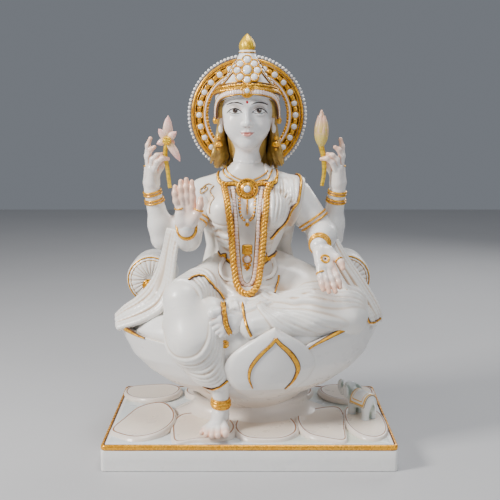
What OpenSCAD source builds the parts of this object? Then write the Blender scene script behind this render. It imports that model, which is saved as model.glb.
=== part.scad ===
// Seated four-armed goddess of white marble on a lotus throne, with gilded dress borders and jewellery.
// The figure faces -Y, +Z is up, and the origin is the middle of the plinth's underside.
// "right" and "left" are the figure's own: her right hand is on the -X side.

/* [Plinth] */
// Width of the plinth
plinth_w = 410; // [406:1:420]
// Depth of the plinth
plinth_d = 270; // [264:1:280]
// Height of the plinth's top above the table
plinth_h = 37; // [32:1:40]
// Height of the gilded moulding along the plinth's top edge
band_h = 7; // [4:1:9]

/* [Lotus throne] */
// Half width of the lotus bowl at its rim
bowl_rx = 180; // [172:1:182]
// Half depth of the lotus bowl at its rim
bowl_ry = 111; // [104:1:113]
// Height of the bowl's rim
bowl_top = 176; // [172:1:180]
// Height of the padded seat inside the bowl
seat_z = 203; // [198:1:206]
// Facets round the bowl
bowl_facets = 48; // [36:4:56]
// Radius of the round bolsters beside the hips
bolster_r = 37; // [34:1:39]

/* [Halo] */
// Radius to the middle of the halo's gem band
halo_r = 75; // [72:1:78]
// Width of the gem band
halo_band_w = 17; // [13:1:19]
// Thickness of the halo from front to back
halo_t = 9; // [6:1:11]
// Number of stones set in the halo
halo_stones = 28; // [16:2:32]
// Number of pearls around the halo
halo_pearls = 76; // [40:2:84]

/* [Figure] */
// Radius of the wrists
wrist_r = 13; // [11:0.5:14]
// Number of pearls in the long strand
strand_pearls = 58; // [40:2:60]

/* [Hidden] */
facets = 20;       // facets round the rounded members that are hulls
finger_facets = 8; // facets round a finger
axis_x = -3;       // the figure sits this far off the plinth's middle

// Points of the figure's frame.
neck = [axis_x, 6, 408];
// The head follows the carvers' canon: from the pit of the neck to the crown's edge is 16 units, 4 of neck and
// 12 of face. The skull is 12 units wide and the jaw 7.
crown_edge = 512;
head_u = (crown_edge - neck[2]) / 16;
chin_z = neck[2] + 4 * head_u;
skull_r = 6 * head_u;
jaw_r = 3.5 * head_u;
head_c = [axis_x, 4, chin_z + 8.5 * head_u];
halo_c = [axis_x, 50, 484];
shoulder_r = [-71, 8, 368];
shoulder_l = [69, 8, 366];
elbow_r = [-88, -26, 308];
elbow_l = [108, 2, 312];
front_wrist_r = [-87, -74, 332];
front_wrist_l = [99, -52, 302];
back_shoulder_r = [-62, 34, 352];
back_shoulder_l = [60, 34, 350];
back_elbow_r = [-131, 36, 300];
back_elbow_l = [122, 36, 302];
back_wrist_r = [-143, 20, 374];
back_wrist_l = [130, 20, 374];
hip_r = [-38, 14, 246];
hip_l = [38, 14, 246];
knee_r = [-90, -72, 226];
knee_l = [146, -36, 212];
hem_r = [-42, -92, 120];
folded_foot = [-30, -104, 196];
bolster_c_r = [-148, 20, seat_z + 36];
bolster_c_l = [146, 20, seat_z + 38];
open_lotus_c = [-124, 2, 446];
bud_c = [104, 5, 463];
elephant_c = [166, -30, 68];

white = [0.93, 0.92, 0.89];
cool = [0.88, 0.91, 0.91];
gold = [0.86, 0.62, 0.18];
pearl = [0.95, 0.86, 0.84];
blush = [0.95, 0.76, 0.72];
brown = [0.42, 0.27, 0.10];

// ---- shared shapes ----

module ball(p, r, fn = facets) translate(p) sphere(r = r, $fn = fn);

// A rounded member between two balls.
module limb(a, ra, b, rb, fn = facets) hull() { ball(a, ra, fn); ball(b, rb, fn); }

// A chain of rounded members through points [x, y, z, r].
module chain(points, fn = facets)
    for (i = [0 : len(points) - 2])
        limb([for (k = [0 : 2]) points[i][k]], points[i][3],
             [for (k = [0 : 2]) points[i + 1][k]], points[i + 1][3], fn);

// One convex shape around points [x, y, z, r].
module wrap(points, fn = facets)
    hull() for (p = points) ball([p[0], p[1], p[2]], p[3], fn);

// A thin level ellipse [x, y, z, rx, ry].
module section(s, fn = 28)
    translate([s[0], s[1], s[2]]) scale([s[3], s[4], 1]) cylinder(r = 1, h = 0.6, $fn = fn);

// A solid through level ellipses, from the lowest to the highest.
module loft(sections, fn = 28)
    for (i = [0 : len(sections) - 2]) hull() { section(sections[i], fn); section(sections[i + 1], fn); }

// A slab with round upright corners.
module rounded_slab(w, d, h, r) {
    translate([-w / 2 + r, -d / 2, 0]) cube([w - 2 * r, d, h]);
    translate([-w / 2, -d / 2 + r, 0]) cube([w, d - 2 * r, h]);
    for (sx = [-1, 1], sy = [-1, 1])
        translate([sx * (w / 2 - r), sy * (d / 2 - r), 0]) cylinder(r = r, h = h, $fn = 48);
}

// A ring round a limb: its centre, the limb's direction, inner radius and tube radius.
module ring_on(c, dir, r, tube) {
    n = norm(dir);
    translate(c)
        rotate([0, acos(dir[2] / n), atan2(dir[1], dir[0])])
            rotate_extrude($fn = 40) translate([r, 0]) circle(r = tube, $fn = 16);
}

// ---- plinth and throne ----

module plinth() color(white) {
    rounded_slab(plinth_w, plinth_d, plinth_h - band_h, 6);
    translate([0, 0, plinth_h - band_h]) rounded_slab(plinth_w - 8, plinth_d - 8, band_h, 4);
}

module plinth_gold_band() color(gold)
    translate([0, 0, plinth_h - band_h]) difference() {
        rounded_slab(plinth_w, plinth_d, band_h, 6);
        translate([0, 0, -1]) rounded_slab(plinth_w - 8, plinth_d - 8, band_h + 2, 4);
    }

// Each petal of the base, as three discs [x, y, radius]: its heel, its middle and its tip.
base_petal_list = [
    [[24, -40, 30], [23, -76, 45], [23, -88, 38]],
    [[-50, -46, 28], [-54, -78, 38], [-92, -124, 5]],
    [[-110, -34, 40], [-138, -68, 42], [-190, -88, 8]],
    [[96, -46, 30], [98, -80, 37], [128, -122, 5]],
    [[160, -14, 26], [168, -54, 32], [172, -84, 26]],
    [[-150, 20, 26], [-166, 48, 30], [-184, 92, 10]],
    [[156, 40, 24], [162, 70, 32], [176, 104, 12]],
    [[-70, 60, 34], [-76, 84, 38], [-82, 120, 8]],
    [[62, 60, 34], [66, 84, 38], [70, 120, 8]]
];
petal_rise = 7; // height of a base petal above the plinth

module base_petals() color(white)
    for (discs = base_petal_list) hull() for (d = discs) translate([d[0], d[1], plinth_h]) {
        cylinder(r = d[2], h = petal_rise - 3, $fn = 32);
        cylinder(r = max(d[2] - 4, 2), h = petal_rise, $fn = 32);
    }

// The bowl's half width and half depth at height z, each as a share of its rim.
function bowl_x(z) = bowl_rx * lookup(z, [[56, 0.36], [72, 0.42], [86, 0.50], [100, 0.68], [118, 0.82],
                                          [138, 0.92], [160, 0.97], [176, 1], [200, 1.02]]);
function bowl_y(z) = bowl_ry * lookup(z, [[56, 0.42], [72, 0.60], [86, 0.76], [100, 0.86], [118, 0.93],
                                          [138, 0.97], [160, 0.99], [176, 1], [200, 1.01]]);
// A point on the bowl at height z and bearing a, standing out from it.
function on_bowl(z, a, out) = [(bowl_x(z) + out) * cos(a), 4 + (bowl_y(z) + out) * sin(a), z];

module throne_stem() color(white)
    hull() { section([2, 6, plinth_h, 118, 78]); section([2, 6, 60, 84, 60]); }

module throne_bowl() color(white)
    loft(concat([for (z = [58, 72, 86, 100, 118, 138, 160, bowl_top]) [0, 4, z, bowl_x(z), bowl_y(z)]],
                [[0, 12, seat_z - 6, 168, 92], [0, 14, seat_z, 158, 84]]), bowl_facets);

// A curved petal on the bowl. Each row is [height, half width in degrees, distance out].
module petal(bearing, rows, r = 5)
    for (i = [0 : len(rows) - 2]) hull()
        for (row = [rows[i], rows[i + 1]], s = [-1, -0.5, 0, 0.5, 1])
            translate(on_bowl(row[0], bearing + s * row[1], row[2] - abs(s))) sphere(r = r, $fn = 8);

module front_petal() color(white)
    petal(277, [[92, 12, 4], [106, 20, 5], [128, 23, 5.5], [150, 20, 6], [172, 12, 6], [193, 1.5, 4]]);

module front_left_petal() color(white)
    petal(315, [[88, 16, 1], [108, 22, 1], [132, 25, 2], [158, 25, 2], [178, 22, 2], [194, 12, 4]]);

module left_petal() color(white)
    petal(0, [[88, 24, 1], [110, 28, 0], [134, 28, 1], [156, 24, 2], [176, 14, 4]]);

module right_petal() color(white)
    petal(205, [[88, 26, 1], [108, 32, 1], [132, 34, 2], [156, 32, 3], [176, 26, 6], [184, 12, 8]]);

module back_petals() color(white)
    for (bearing = [40, 78, 116, 154])
        petal(bearing, [[88, 14, 1], [112, 19, 2], [138, 20, 3], [162, 16, 4], [182, 9, 6], [196, 1.5, 9]]);

module petal_gold_rims() color(gold) {
    chain([for (r = [[106, 262], [132, 262], [160, 268], [186, 277]])
           concat(on_bowl(r[0], r[1], 11), [2.5])], 10);
    chain([for (r = [[104, 293], [132, 291], [160, 285], [186, 277]])
           concat(on_bowl(r[0], r[1], 11), [2.5])], 10);
    chain([for (r = [[168, 294], [182, 302], [193, 314], [198, 330]])
           concat(on_bowl(r[0], r[1], 6), [3])], 10);
    chain([for (r = [[170, 212], [180, 200], [184, 188]])
           concat(on_bowl(r[0], r[1], 10), [3])], 10);
}

module bolster(c) translate(c) rotate([-90, 0, 0]) {
    cylinder(r = bolster_r, h = 74, $fn = 64);
    translate([0, 0, -3]) cylinder(r1 = bolster_r - 5, r2 = bolster_r, h = 3, $fn = 64);
}

module right_bolster() color(white) bolster(bolster_c_r);
module left_bolster() color(white) bolster(bolster_c_l);

module bolster_medallions() color(gold)
    for (c = [bolster_c_r, bolster_c_l])
        translate([c[0] + (c[0] < 0 ? -5 : 8), c[1] - 9, c[2] - 4]) rotate([-90, 0, 0]) {
            cylinder(r = 8, h = 7, $fn = 40);
            translate([0, 11, 2]) cylinder(r = 5, h = 5, $fn = 32);
        }

// ---- elephant on the base ----

module elephant() color(cool) translate(elephant_c) rotate([0, 0, 22]) {
    wrap([[0, -16, 0, 15], [0, 12, 1, 14]], 14);
    limb([0, 14, 4], 11, [0, 28, 8], 10, 12);
    for (sx = [-1, 1], y = [-20, 10]) limb([sx * 8, y, -8], 6, [sx * 9, y, -22], 5, 10);
    for (sx = [-1, 1]) limb([sx * 10, 24, 8], 4, [sx * 17, 20, 14], 3, 10);
    limb([0, 36, 6], 5, [2, 44, 2], 3.5, 10);
    limb([2, 44, 2], 3.5, [6, 46, 14], 2.5, 10);
}

module elephant_cloth() color(gold) translate(elephant_c) rotate([0, 0, 22])
    difference() {
        wrap([[0, -13, 3, 15], [0, 7, 3, 15]], 14);
        wrap([[0, -16, 0, 15], [0, 12, 1, 14]], 14);
        translate([-30, -40, -34]) cube([60, 80, 30]);
    }

// ---- seated figure ----

module lap() color(white) {
    loft([[0, 18, 150, 96, 70], [0, 16, 200, 88, 62], [0, 14, 236, 68, 50], [axis_x, 12, 262, 46, 34]]);
    limb(hip_r, 38, knee_r, 34);
    limb(hip_l, 40, knee_l, 32);
    limb([140, -46, 196], 26, folded_foot, 17);
    wrap([[60, -60, 196, 24], [120, -50, 196, 28], [30, -40, 214, 30], [90, -20, 210, 34]]);
    wrap([[-60, -50, 196, 26], [0, -60, 196, 26], [-30, -20, 214, 30]]);
}

module right_leg() color(white) {
    limb(knee_r, 32, [-76, -88, 172], 34);
    limb([-76, -88, 172], 34, hem_r, 16);
    limb(hem_r, 13, [-40, -86, 84], 12);
}

module right_foot() color(white)
    wrap([[-38, -74, 56, 13], [-38, -86, 78, 12], [-44, -100, 54, 10], [-58, -108, 50, 6],
          [-48, -118, 49, 6]], 14);

module left_foot() color(white)
    wrap([[-26, -100, 196, 12], [-46, -104, 204, 9], [-44, -104, 190, 8], [-52, -104, 212, 6]], 14);

module right_anklet() color(gold) ring_on([-41, -88, 84], [0, 4, 34], 12.5, 4.5);
module left_anklet() color(gold) ring_on([-24, -102, 198], [-22, -4, 6], 14, 3);

module sari_pleats() color(white)
    wrap([[-32, -84, 228, 4], [2, -84, 228, 4], [-24, -112, 190, 3], [8, -112, 190, 3],
          [-20, -60, 200, 8]], 12);

module sari_gold_borders() color(gold) {
    chain([[-56, -84, 262, 2.5], [-36, -100, 230, 2.5], [-26, -117, 191, 3]], 10);
    chain([[-6, -92, 228, 2.5], [8, -117, 186, 2.5]], 10);
    limb([-54, -96, 112], 3, [-26, -110, 122], 3, 10);
}

module belt() color(gold)
    translate([axis_x, 8, 266]) difference() {
        scale([44, 33, 1]) cylinder(r = 1, h = 14, $fn = 48);
        translate([0, 0, -1]) scale([40, 29, 1]) cylinder(r = 1, h = 16, $fn = 48);
    }

module torso() color(white)
    loft([[axis_x, 12, 256, 44, 32], [axis_x, 10, 276, 40, 30], [axis_x, 8, 296, 44, 31],
          [axis_x, 2, 322, 56, 38], [axis_x, -2, 344, 64, 42], [axis_x, 4, 364, 66, 36],
          [axis_x, 8, 384, 62, 27], [axis_x, 8, 400, 34, 21], [axis_x, 8, 410, 22, 19]]);

module pallu() color(white)
    difference() {
        wrap([[34, -14, 398, 14], [72, 2, 378, 22], [70, -22, 336, 16], [30, -42, 346, 10],
              [58, -24, 296, 10], [28, -30, 276, 8]], 16);
        loft([[axis_x, 12, 250, 44, 30], [axis_x, 2, 322, 50, 36], [axis_x, -2, 344, 56, 38],
              [axis_x, 8, 384, 54, 25], [axis_x, 8, 420, 34, 20]], 24);
    }

module back_shawl() color(white)
    wrap([[-20, 40, 398, 12], [14, 40, 398, 12], [-58, 34, 380, 10], [54, 35, 378, 11], [-72, 44, 250, 8], [70, 45, 253, 9],
          [-66, 47, 196, 7], [66, 46, 194, 8]], 16);

module right_shawl_fall() color(white) {
    chain([[-100, -24, 316, 10], [-116, -30, 290, 9], [-124, -26, 250, 11], [-132, -18, 216, 13],
           [-158, -14, 196, 11], [-186, -16, 190, 7]], 14);
}

module left_shawl_end() color(white)
    chain([[118, 4, 292, 8], [140, -16, 258, 9], [158, -34, 238, 11], [176, -38, 216, 11],
           [184, -36, 196, 8]], 14);

// ---- head, crown and halo ----

module head() color(white) {
    limb([axis_x, 4, crown_edge - 1.5 * head_u], skull_r, [axis_x, -2, chin_z + jaw_r], jaw_r);
    limb([axis_x, 8, 446], 18, neck, 20);
}

module hair() color(brown) {
    limb(head_c + [0, 4, 6], 35, [axis_x, 14, 426], 26);
    for (sx = [-1, 1])
        limb([axis_x + sx * 34, 16, 456], 10, [axis_x + sx * 46, 14, 410], 12);
}

module crown() color(gold)
    loft([[axis_x, 2, crown_edge, 45, 40], [axis_x, 2, 520, 47, 41], [axis_x, 3, 532, 44, 39],
          [axis_x, 5, 546, 35, 32], [axis_x, 6, 556, 24, 22], [axis_x, 7, 562, 17, 16],
          [axis_x, 8, 568, 17, 16], [axis_x, 8, 573, 10, 10], [axis_x, 8, 576, 7, 7]]);

module crown_jewel() color(gold)
    translate([axis_x, -36, 548]) rotate([-68, 0, 0]) {
        cylinder(r = 8, h = 26, $fn = 48);
        for (i = [0 : 7]) rotate([0, 0, i * 45]) translate([12, 0, 2]) sphere(r = 5, $fn = 24);
    }

module crown_finial() color(gold)
    translate([axis_x, 8, 573]) rotate_extrude($fn = 48)
        polygon([[0, 0], [6, 0], [10, 5], [11.5, 11], [10, 17], [6, 22], [2, 26], [0, 27]]);

module earrings() color(gold)
    for (sx = [-1, 1]) translate([axis_x + sx * 38, -2, 0]) {
        translate([0, 0, 455]) sphere(r = 4.5, $fn = 24);
        translate([0, 0, 436]) cylinder(r1 = 7, r2 = 3, h = 15, $fn = 32);
    }

module halo_ring() color(gold)
    translate(halo_c) rotate([90, 0, 0]) rotate_extrude($fn = 96)
        translate([halo_r - halo_band_w / 2, -halo_t / 2]) square([halo_band_w, halo_t]);

module halo_stones() color(pearl)
    for (i = [0 : halo_stones - 1])
        translate(halo_c) rotate([0, i * 360 / halo_stones, 0])
            translate([halo_r, -halo_t / 2 - 2, 0]) rotate([-90, 0, 0]) cylinder(r = 4.2, h = 2, $fn = 20);

module halo_pearls() color(pearl)
    for (i = [0 : halo_pearls - 1])
        translate(halo_c) rotate([0, i * 360 / halo_pearls, 0])
            translate([halo_r + halo_band_w / 2 + 2.2, 0, 0]) sphere(r = 3, $fn = 16);

// ---- jewellery ----

module collar_disc() color(gold)
    translate([axis_x, -36, 378]) rotate([-72, 0, 0]) {
        cylinder(r = 15, h = 5, $fn = 64);
        translate([0, 0, -3]) cylinder(r = 5, h = 4, $fn = 40);
    }

// The long garland hangs in a narrow loop; side is -1 or 1.
function garland(side, w) = [
    [axis_x + side * (32 + w), 2, 402, 4.5], [axis_x + side * (31 + w), -26, 378, 4.5],
    [axis_x + side * (27 + w), -46, 340, 4.5], [axis_x + side * (23 + w), -44, 300, 4.5],
    [axis_x + side * (18 + w), -42, 262, 4.5], [axis_x + side * 9, -52, 238, 4.5], [axis_x, -58, 231, 4.5]
];

module rope_garland() color(gold) {
    chain(garland(-1, 2), 10);
    chain(garland(1, 2), 10);
}

module pearl_strand() color(pearl)
    for (side = [-1, 1], i = [0 : strand_pearls / 2 - 1]) {
        t = i / (strand_pearls / 2 - 1);
        x = side * (26 * (1 - t) + 9 * t) * sqrt(1 - pow(t, 8));
        translate([axis_x + x, -34 - 22 * sin(t * 80) + 4 * t, 384 - 144 * t]) sphere(r = 2.4, $fn = 16);
    }

module bead_necklace() color(gold)
    for (side = [-1, 1], i = [0 : 8]) {
        t = i / 8;
        translate([axis_x + side * 17 * sqrt(1 - t * t * 0.98), -42 - 10 * t, 374 - 34 * t])
            sphere(r = 2.8, $fn = 16);
    }

module waist_pendant() color(gold)
    translate([axis_x, -50, 294]) {
        translate([-7, 0, -14]) cube([14, 8, 28]);
        translate([0, 1, 0]) rotate([90, 0, 0]) cylinder(r = 5, h = 4, $fn = 40);
    }

module garland_tassel() color(gold)
    translate([axis_x, -62, 214]) {
        cylinder(r1 = 6, r2 = 4, h = 9, $fn = 32);
        translate([0, 0, 11]) sphere(r = 4.5, $fn = 24);
    }

// ---- arms and hands ----

// Four fingers and a thumb on a palm. wrist and tip are points, side is the way to the thumb,
// and curl bends the fingers along bend.
module hand(wrist, tip, side, bend, width = 12, thick = 6) {
    along = (tip - wrist) / norm(tip - wrist);
    reach = norm(tip - wrist);
    knuckle = wrist + along * reach * 0.5;
    wrap([for (s = [-1, 1], t = [0.1, 0.5])
          concat(wrist + along * reach * t + side * s * (width - 5) * (t < 0.3 ? 0.7 : 1), [thick])], 10);
    for (f = [0 : 3]) {
        s = -0.9 + 0.6 * f;
        root = knuckle + side * s * width;
        mid = root + along * reach * 0.24 + bend * 0.25;
        end = root + along * reach * (0.44 - 0.05 * abs(f - 1.6)) + bend;
        limb(root, 4.2, mid, 3.9, finger_facets);
        limb(mid, 3.9, end, 3.2, finger_facets);
    }
    limb(wrist + along * reach * 0.2 + side * width * 0.8, 5,
         wrist + along * reach * 0.62 + side * (width + 7), 3.8, finger_facets);
}

module arm(a, ra, b, rb, c, rc) { limb(a, ra, b, rb); limb(b, rb, c, rc); }

module front_right_arm() color(white) arm(shoulder_r, 22, elbow_r, 17, front_wrist_r, wrist_r);
module front_left_arm() color(white) arm(shoulder_l, 22, elbow_l, 19, front_wrist_l, wrist_r);
module back_right_arm() color(white) arm(back_shoulder_r, 20, back_elbow_r, 18, back_wrist_r, wrist_r);
module back_left_arm() color(white) arm(back_shoulder_l, 20, back_elbow_l, 18, back_wrist_l, wrist_r);

module front_right_hand() color(blush) hand(front_wrist_r, [-91, -86, 399], [1, 0.1, 0], [0, -2, 0], 15);
module front_left_hand() color(blush)
    hand(front_wrist_l, [112, -98, 249], [0.97, -0.1, -0.2], [0, 2, -3], 15);
module back_right_hand() color(white) hand(back_wrist_r, [-146, 2, 448], [0.5, -0.86, 0], [12, -4, -4], 10);
module back_left_hand() color(white) hand(back_wrist_l, [134, 2, 450], [-0.5, -0.86, 0], [-12, -4, -4], 10);

module wrist_bangles() color(gold) {
    for (t = [0.03, 0.15], pair = [[back_wrist_r, back_elbow_r], [back_wrist_l, back_elbow_l]])
        ring_on(pair[0] + (pair[1] - pair[0]) * t, pair[1] - pair[0], wrist_r + 1.5, 2);
    ring_on(front_wrist_r, elbow_r - front_wrist_r, wrist_r + 1.5, 3);
    ring_on(front_wrist_l, elbow_l - front_wrist_l, wrist_r + 1.5, 3);
}

module armlets() color(gold) {
    ring_on(shoulder_r * 0.45 + elbow_r * 0.55, elbow_r - shoulder_r, 20.5, 2);
    ring_on(shoulder_l * 0.45 + elbow_l * 0.55, elbow_l - shoulder_l, 22, 2);
}

// ---- flowers in the back hands ----

module open_lotus() color(blush) {
    limb(open_lotus_c + [0, 0, -6], 9, open_lotus_c + [1, 0, 8], 8, 14);
    limb(open_lotus_c + [3, 0, 12], 9, open_lotus_c + [6, 0, 36], 2, 14);
    limb(open_lotus_c + [8, 0, -12], 8, open_lotus_c + [22, 0, -28], 2, 14);
    limb([-128, -2, 436], 4, [-132, 2, 380], 4, 12);
}

module lotus_bud() color(gold) {
    wrap([concat(bud_c + [1, 0, -18], [8]), concat(bud_c, [14]), concat(bud_c + [-1, 0, 22], [7])], 18);
    limb([110, 3, 446], 5, [118, 4, 384], 4, 12);
}

plinth();
plinth_gold_band();
base_petals();
throne_stem();
throne_bowl();
front_petal();
front_left_petal();
left_petal();
right_petal();
back_petals();
petal_gold_rims();
right_bolster();
left_bolster();
bolster_medallions();
elephant();
elephant_cloth();
lap();
right_leg();
right_foot();
left_foot();
right_anklet();
left_anklet();
sari_pleats();
sari_gold_borders();
belt();
torso();
pallu();
back_shawl();
right_shawl_fall();
left_shawl_end();
head();
hair();
crown();
crown_jewel();
crown_finial();
earrings();
halo_ring();
halo_stones();
halo_pearls();
collar_disc();
rope_garland();
pearl_strand();
bead_necklace();
waist_pendant();
garland_tassel();
front_right_arm();
front_right_hand();
front_left_arm();
front_left_hand();
back_right_arm();
back_right_hand();
back_left_arm();
back_left_hand();
wrist_bangles();
armlets();
open_lotus();
lotus_bud();
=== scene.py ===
# %% [markdown]
# A seated goddess of white marble, about 0.6 m tall, is carved from one block, polished, gilded and set
# with pearls. This script rebuilds it as a workshop would: every member is modelled in clay-like volumes
# or as a carved shell, trimmed with gold lines and strung with beads, and dressed in its material at the
# end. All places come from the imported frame's own boxes; lengths in the text are millimetres.

# %% Load the frame and the libraries
import math
import time

import bmesh
import bpy
import numpy as np
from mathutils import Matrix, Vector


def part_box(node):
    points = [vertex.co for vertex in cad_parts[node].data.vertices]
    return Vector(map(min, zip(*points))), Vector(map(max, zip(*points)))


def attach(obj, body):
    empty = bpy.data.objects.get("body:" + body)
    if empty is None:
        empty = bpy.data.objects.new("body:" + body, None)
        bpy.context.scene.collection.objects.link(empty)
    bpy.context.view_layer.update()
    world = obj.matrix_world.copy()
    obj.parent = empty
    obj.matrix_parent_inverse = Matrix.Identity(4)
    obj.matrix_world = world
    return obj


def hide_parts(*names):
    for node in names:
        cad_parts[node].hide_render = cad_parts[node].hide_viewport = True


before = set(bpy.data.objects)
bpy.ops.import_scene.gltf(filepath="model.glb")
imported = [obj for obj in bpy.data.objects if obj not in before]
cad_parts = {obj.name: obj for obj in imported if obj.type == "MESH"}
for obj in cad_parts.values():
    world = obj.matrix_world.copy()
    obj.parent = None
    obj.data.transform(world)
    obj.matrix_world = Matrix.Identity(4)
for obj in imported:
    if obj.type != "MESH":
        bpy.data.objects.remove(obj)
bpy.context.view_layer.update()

import openvdb
from mathutils import Matrix, Vector
from mathutils.bvhtree import BVHTree
from mathutils.kdtree import KDTree

T0 = time.time()
MM = 0.001


def lo(node):
    return np.array(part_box(node)[0]) * 1000


def hi(node):
    return np.array(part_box(node)[1]) * 1000


def mid(node, dx=0.0, dy=0.0, dz=0.0):
    return (lo(node) + hi(node)) / 2 + np.array([dx, dy, dz])


def unit(v):
    v = np.asarray(v, float)
    return v / (np.linalg.norm(v, axis=-1, keepdims=True) + 1e-12)


AX = mid("torso")[0]
print("figure axis x =", round(AX, 1), "quick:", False)

# %% [markdown]
# A carver thinks in volumes that melt into each other, so the soft parts are modelled as a field of
# distances on a fine grid. Balls, tapered limbs and tubes are added with a blend radius, hollows are cut
# the same way, and the zero surface is meshed. Folds are bundles of tubes laid on the surface that is
# already there, and each vertex keeps how deep in a hollow it lies and whether it sits in a crease
# between folds, which the materials use to paint shade into the stone's colour.

# %% The clay: a distance field with soft unions
FAR = 60.0


def smin(a, b, k):
    if k <= 0:
        return np.minimum(a, b)
    h = np.maximum(k - np.abs(a - b), 0) / k
    return np.minimum(a, b) - h * h * (k * 0.25)


def smax(a, b, k):
    return -smin(-a, -b, k)


class Clay:
    def __init__(self, lo_mm, hi_mm, voxel):
        self.h = voxel * 1.0
        self.lo = np.array(lo_mm, float)
        self.n = np.ceil((np.array(hi_mm, float) - self.lo) / self.h).astype(int) + 1
        self.f = np.full(self.n, FAR, np.float32)
        self.layer = None

    def axes(self, a, b):
        return [(self.lo[i] + self.h * np.arange(a[i], b[i])).astype(np.float32).reshape(
            [-1 if j == i else 1 for j in range(3)]) for i in range(3)]

    def window(self, lo_mm, hi_mm):
        a = np.clip(np.floor((np.asarray(lo_mm) - self.lo) / self.h).astype(int), 0, self.n)
        b = np.clip(np.ceil((np.asarray(hi_mm) - self.lo) / self.h).astype(int) + 1, 0, self.n)
        if (b <= a).any():
            return None, None
        return tuple(slice(i, j) for i, j in zip(a, b)), self.axes(a, b)

    def put(self, sl, d, k, cut=False):
        if self.layer is not None:
            self.layer[sl] = smin(self.layer[sl], d, k)
        elif cut:
            self.f[sl] = smax(self.f[sl], -d, k)
        else:
            self.f[sl] = smin(self.f[sl], d, k)

    def blob(self, c, r, k=3.0, turn=None, cut=False):
        # an ellipsoid; r is one radius or three; turn is (degrees about z, y, x)
        c = np.asarray(c, float)
        r = np.array([r] * 3 if np.isscalar(r) else r, float)
        m = r.max() + max(k, 4) + 3 * self.h
        sl, X = self.window(c - m, c + m)
        if sl is None:
            return self
        p = [X[i] - c[i] for i in range(3)]
        if turn is not None:
            az, ay, ax = [math.radians(v) for v in turn]
            rz = np.array([[math.cos(az), math.sin(az), 0], [-math.sin(az), math.cos(az), 0], [0, 0, 1]])
            ry = np.array([[math.cos(ay), 0, -math.sin(ay)], [0, 1, 0], [math.sin(ay), 0, math.cos(ay)]])
            rx = np.array([[1, 0, 0], [0, math.cos(ax), math.sin(ax)], [0, -math.sin(ax), math.cos(ax)]])
            w = rx @ ry @ rz
            p = [w[i, 0] * p[0] + w[i, 1] * p[1] + w[i, 2] * p[2] for i in range(3)]
        if r.max() - r.min() < 1e-6:
            d = np.sqrt(p[0] ** 2 + p[1] ** 2 + p[2] ** 2) - r[0]
        else:
            k0 = np.sqrt((p[0] / r[0]) ** 2 + (p[1] / r[1]) ** 2 + (p[2] / r[2]) ** 2)
            k1 = np.sqrt((p[0] / r[0] ** 2) ** 2 + (p[1] / r[1] ** 2) ** 2 + (p[2] / r[2] ** 2) ** 2)
            d = k0 * (k0 - 1) / (k1 + 1e-6)
        self.put(sl, d.astype(np.float32), k, cut)
        return self

    def limb(self, a, ra, b, rb, k=3.0, cut=False, margin=None):
        a, b = np.asarray(a, float), np.asarray(b, float)
        m = max(ra, rb) + (max(k, 4) + 3 * self.h if margin is None else margin)
        sl, X = self.window(np.minimum(a, b) - m, np.maximum(a, b) + m)
        if sl is None:
            return self
        v = b - a
        l2 = float(v @ v) + 1e-6
        p = [X[i] - a[i] for i in range(3)]
        t = np.clip((p[0] * v[0] + p[1] * v[1] + p[2] * v[2]) / l2, 0, 1)
        d = np.sqrt((p[0] - t * v[0]) ** 2 + (p[1] - t * v[1]) ** 2 + (p[2] - t * v[2]) ** 2)
        self.put(sl, (d - (ra + t * (rb - ra))).astype(np.float32), k, cut)
        return self

    def tube(self, pts, radii, k=0.0):
        # a chain of limbs; inside a group its parts join without bulges
        radii = np.broadcast_to(radii, len(pts))
        for i in range(len(pts) - 1):
            self.limb(pts[i], radii[i], pts[i + 1], radii[i + 1], k)
        return self

    def group(self, k):
        return Group(self, k)

    def sample(self, pts):
        q = (np.atleast_2d(pts) - self.lo) / self.h
        q = np.clip(q, 0, self.n - 1.001)
        i = np.floor(q).astype(int)
        t = q - i
        out = 0
        for dx in (0, 1):
            for dy in (0, 1):
                for dz in (0, 1):
                    w = (t[:, 0] if dx else 1 - t[:, 0]) * (t[:, 1] if dy else 1 - t[:, 1]) * (
                        t[:, 2] if dz else 1 - t[:, 2])
                    out = out + w * self.f[i[:, 0] + dx, i[:, 1] + dy, i[:, 2] + dz]
        return out

    def normal(self, pts, e=1.5):
        g = np.stack([self.sample(pts + d) - self.sample(pts - d) for d in np.eye(3) * e], -1)
        return unit(g)

    def project(self, pts, depth=0.0, steps=6):
        p = np.array(pts, float)
        for _ in range(steps):
            p = p - (self.sample(p) + depth)[:, None] * self.normal(p) * 0.85
        return p

    def folds(self, a, b, n, r, k=2.5, depth=0.45, ends=(0.25, 0.25), seed=1, wander=0.12, samples=22):
        # n ridges between two guide lines, laid on the surface
        rng = np.random.default_rng(seed)
        a, b = curve(a, samples), curve(b, samples)
        gap = np.linalg.norm(b - a, axis=1) / n
        t = np.linspace(0, 1, samples)
        taper = np.minimum(1, np.minimum((t + 0.02) / max(ends[0], 1e-3), (1.02 - t) / max(ends[1], 1e-3)))
        taper = np.sqrt(np.clip(taper, 0.02, 1))
        lines = []
        for i in range(n):
            u = (i + 0.5) / n + wander / n * rng.uniform(-1,
                    1) + wander / n * np.sin(t * 5 + rng.uniform(0, 6))
            rr = np.clip(0.55 * gap, 1.2, r * 1.25) * rng.uniform(0.88, 1.12)
            base = a + (b - a) * np.asarray(u).reshape(-1, 1)
            lines.append((self.project(base), rr * (0.45 + 0.55 * taper), taper))
        nrm = [self.normal(p) for p, _, _ in lines]
        with self.group(k * 0.5):
            for (p, rr, tp), m in zip(lines, nrm):
                sink = rr * depth * 0.45 + (1 - tp) * r * 0.9
                self.tube(p - m * sink[:, None], rr)
                self.note(p - m * sink[:, None], rr, tp)
        return self

    def note(self, p, r, w):
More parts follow.
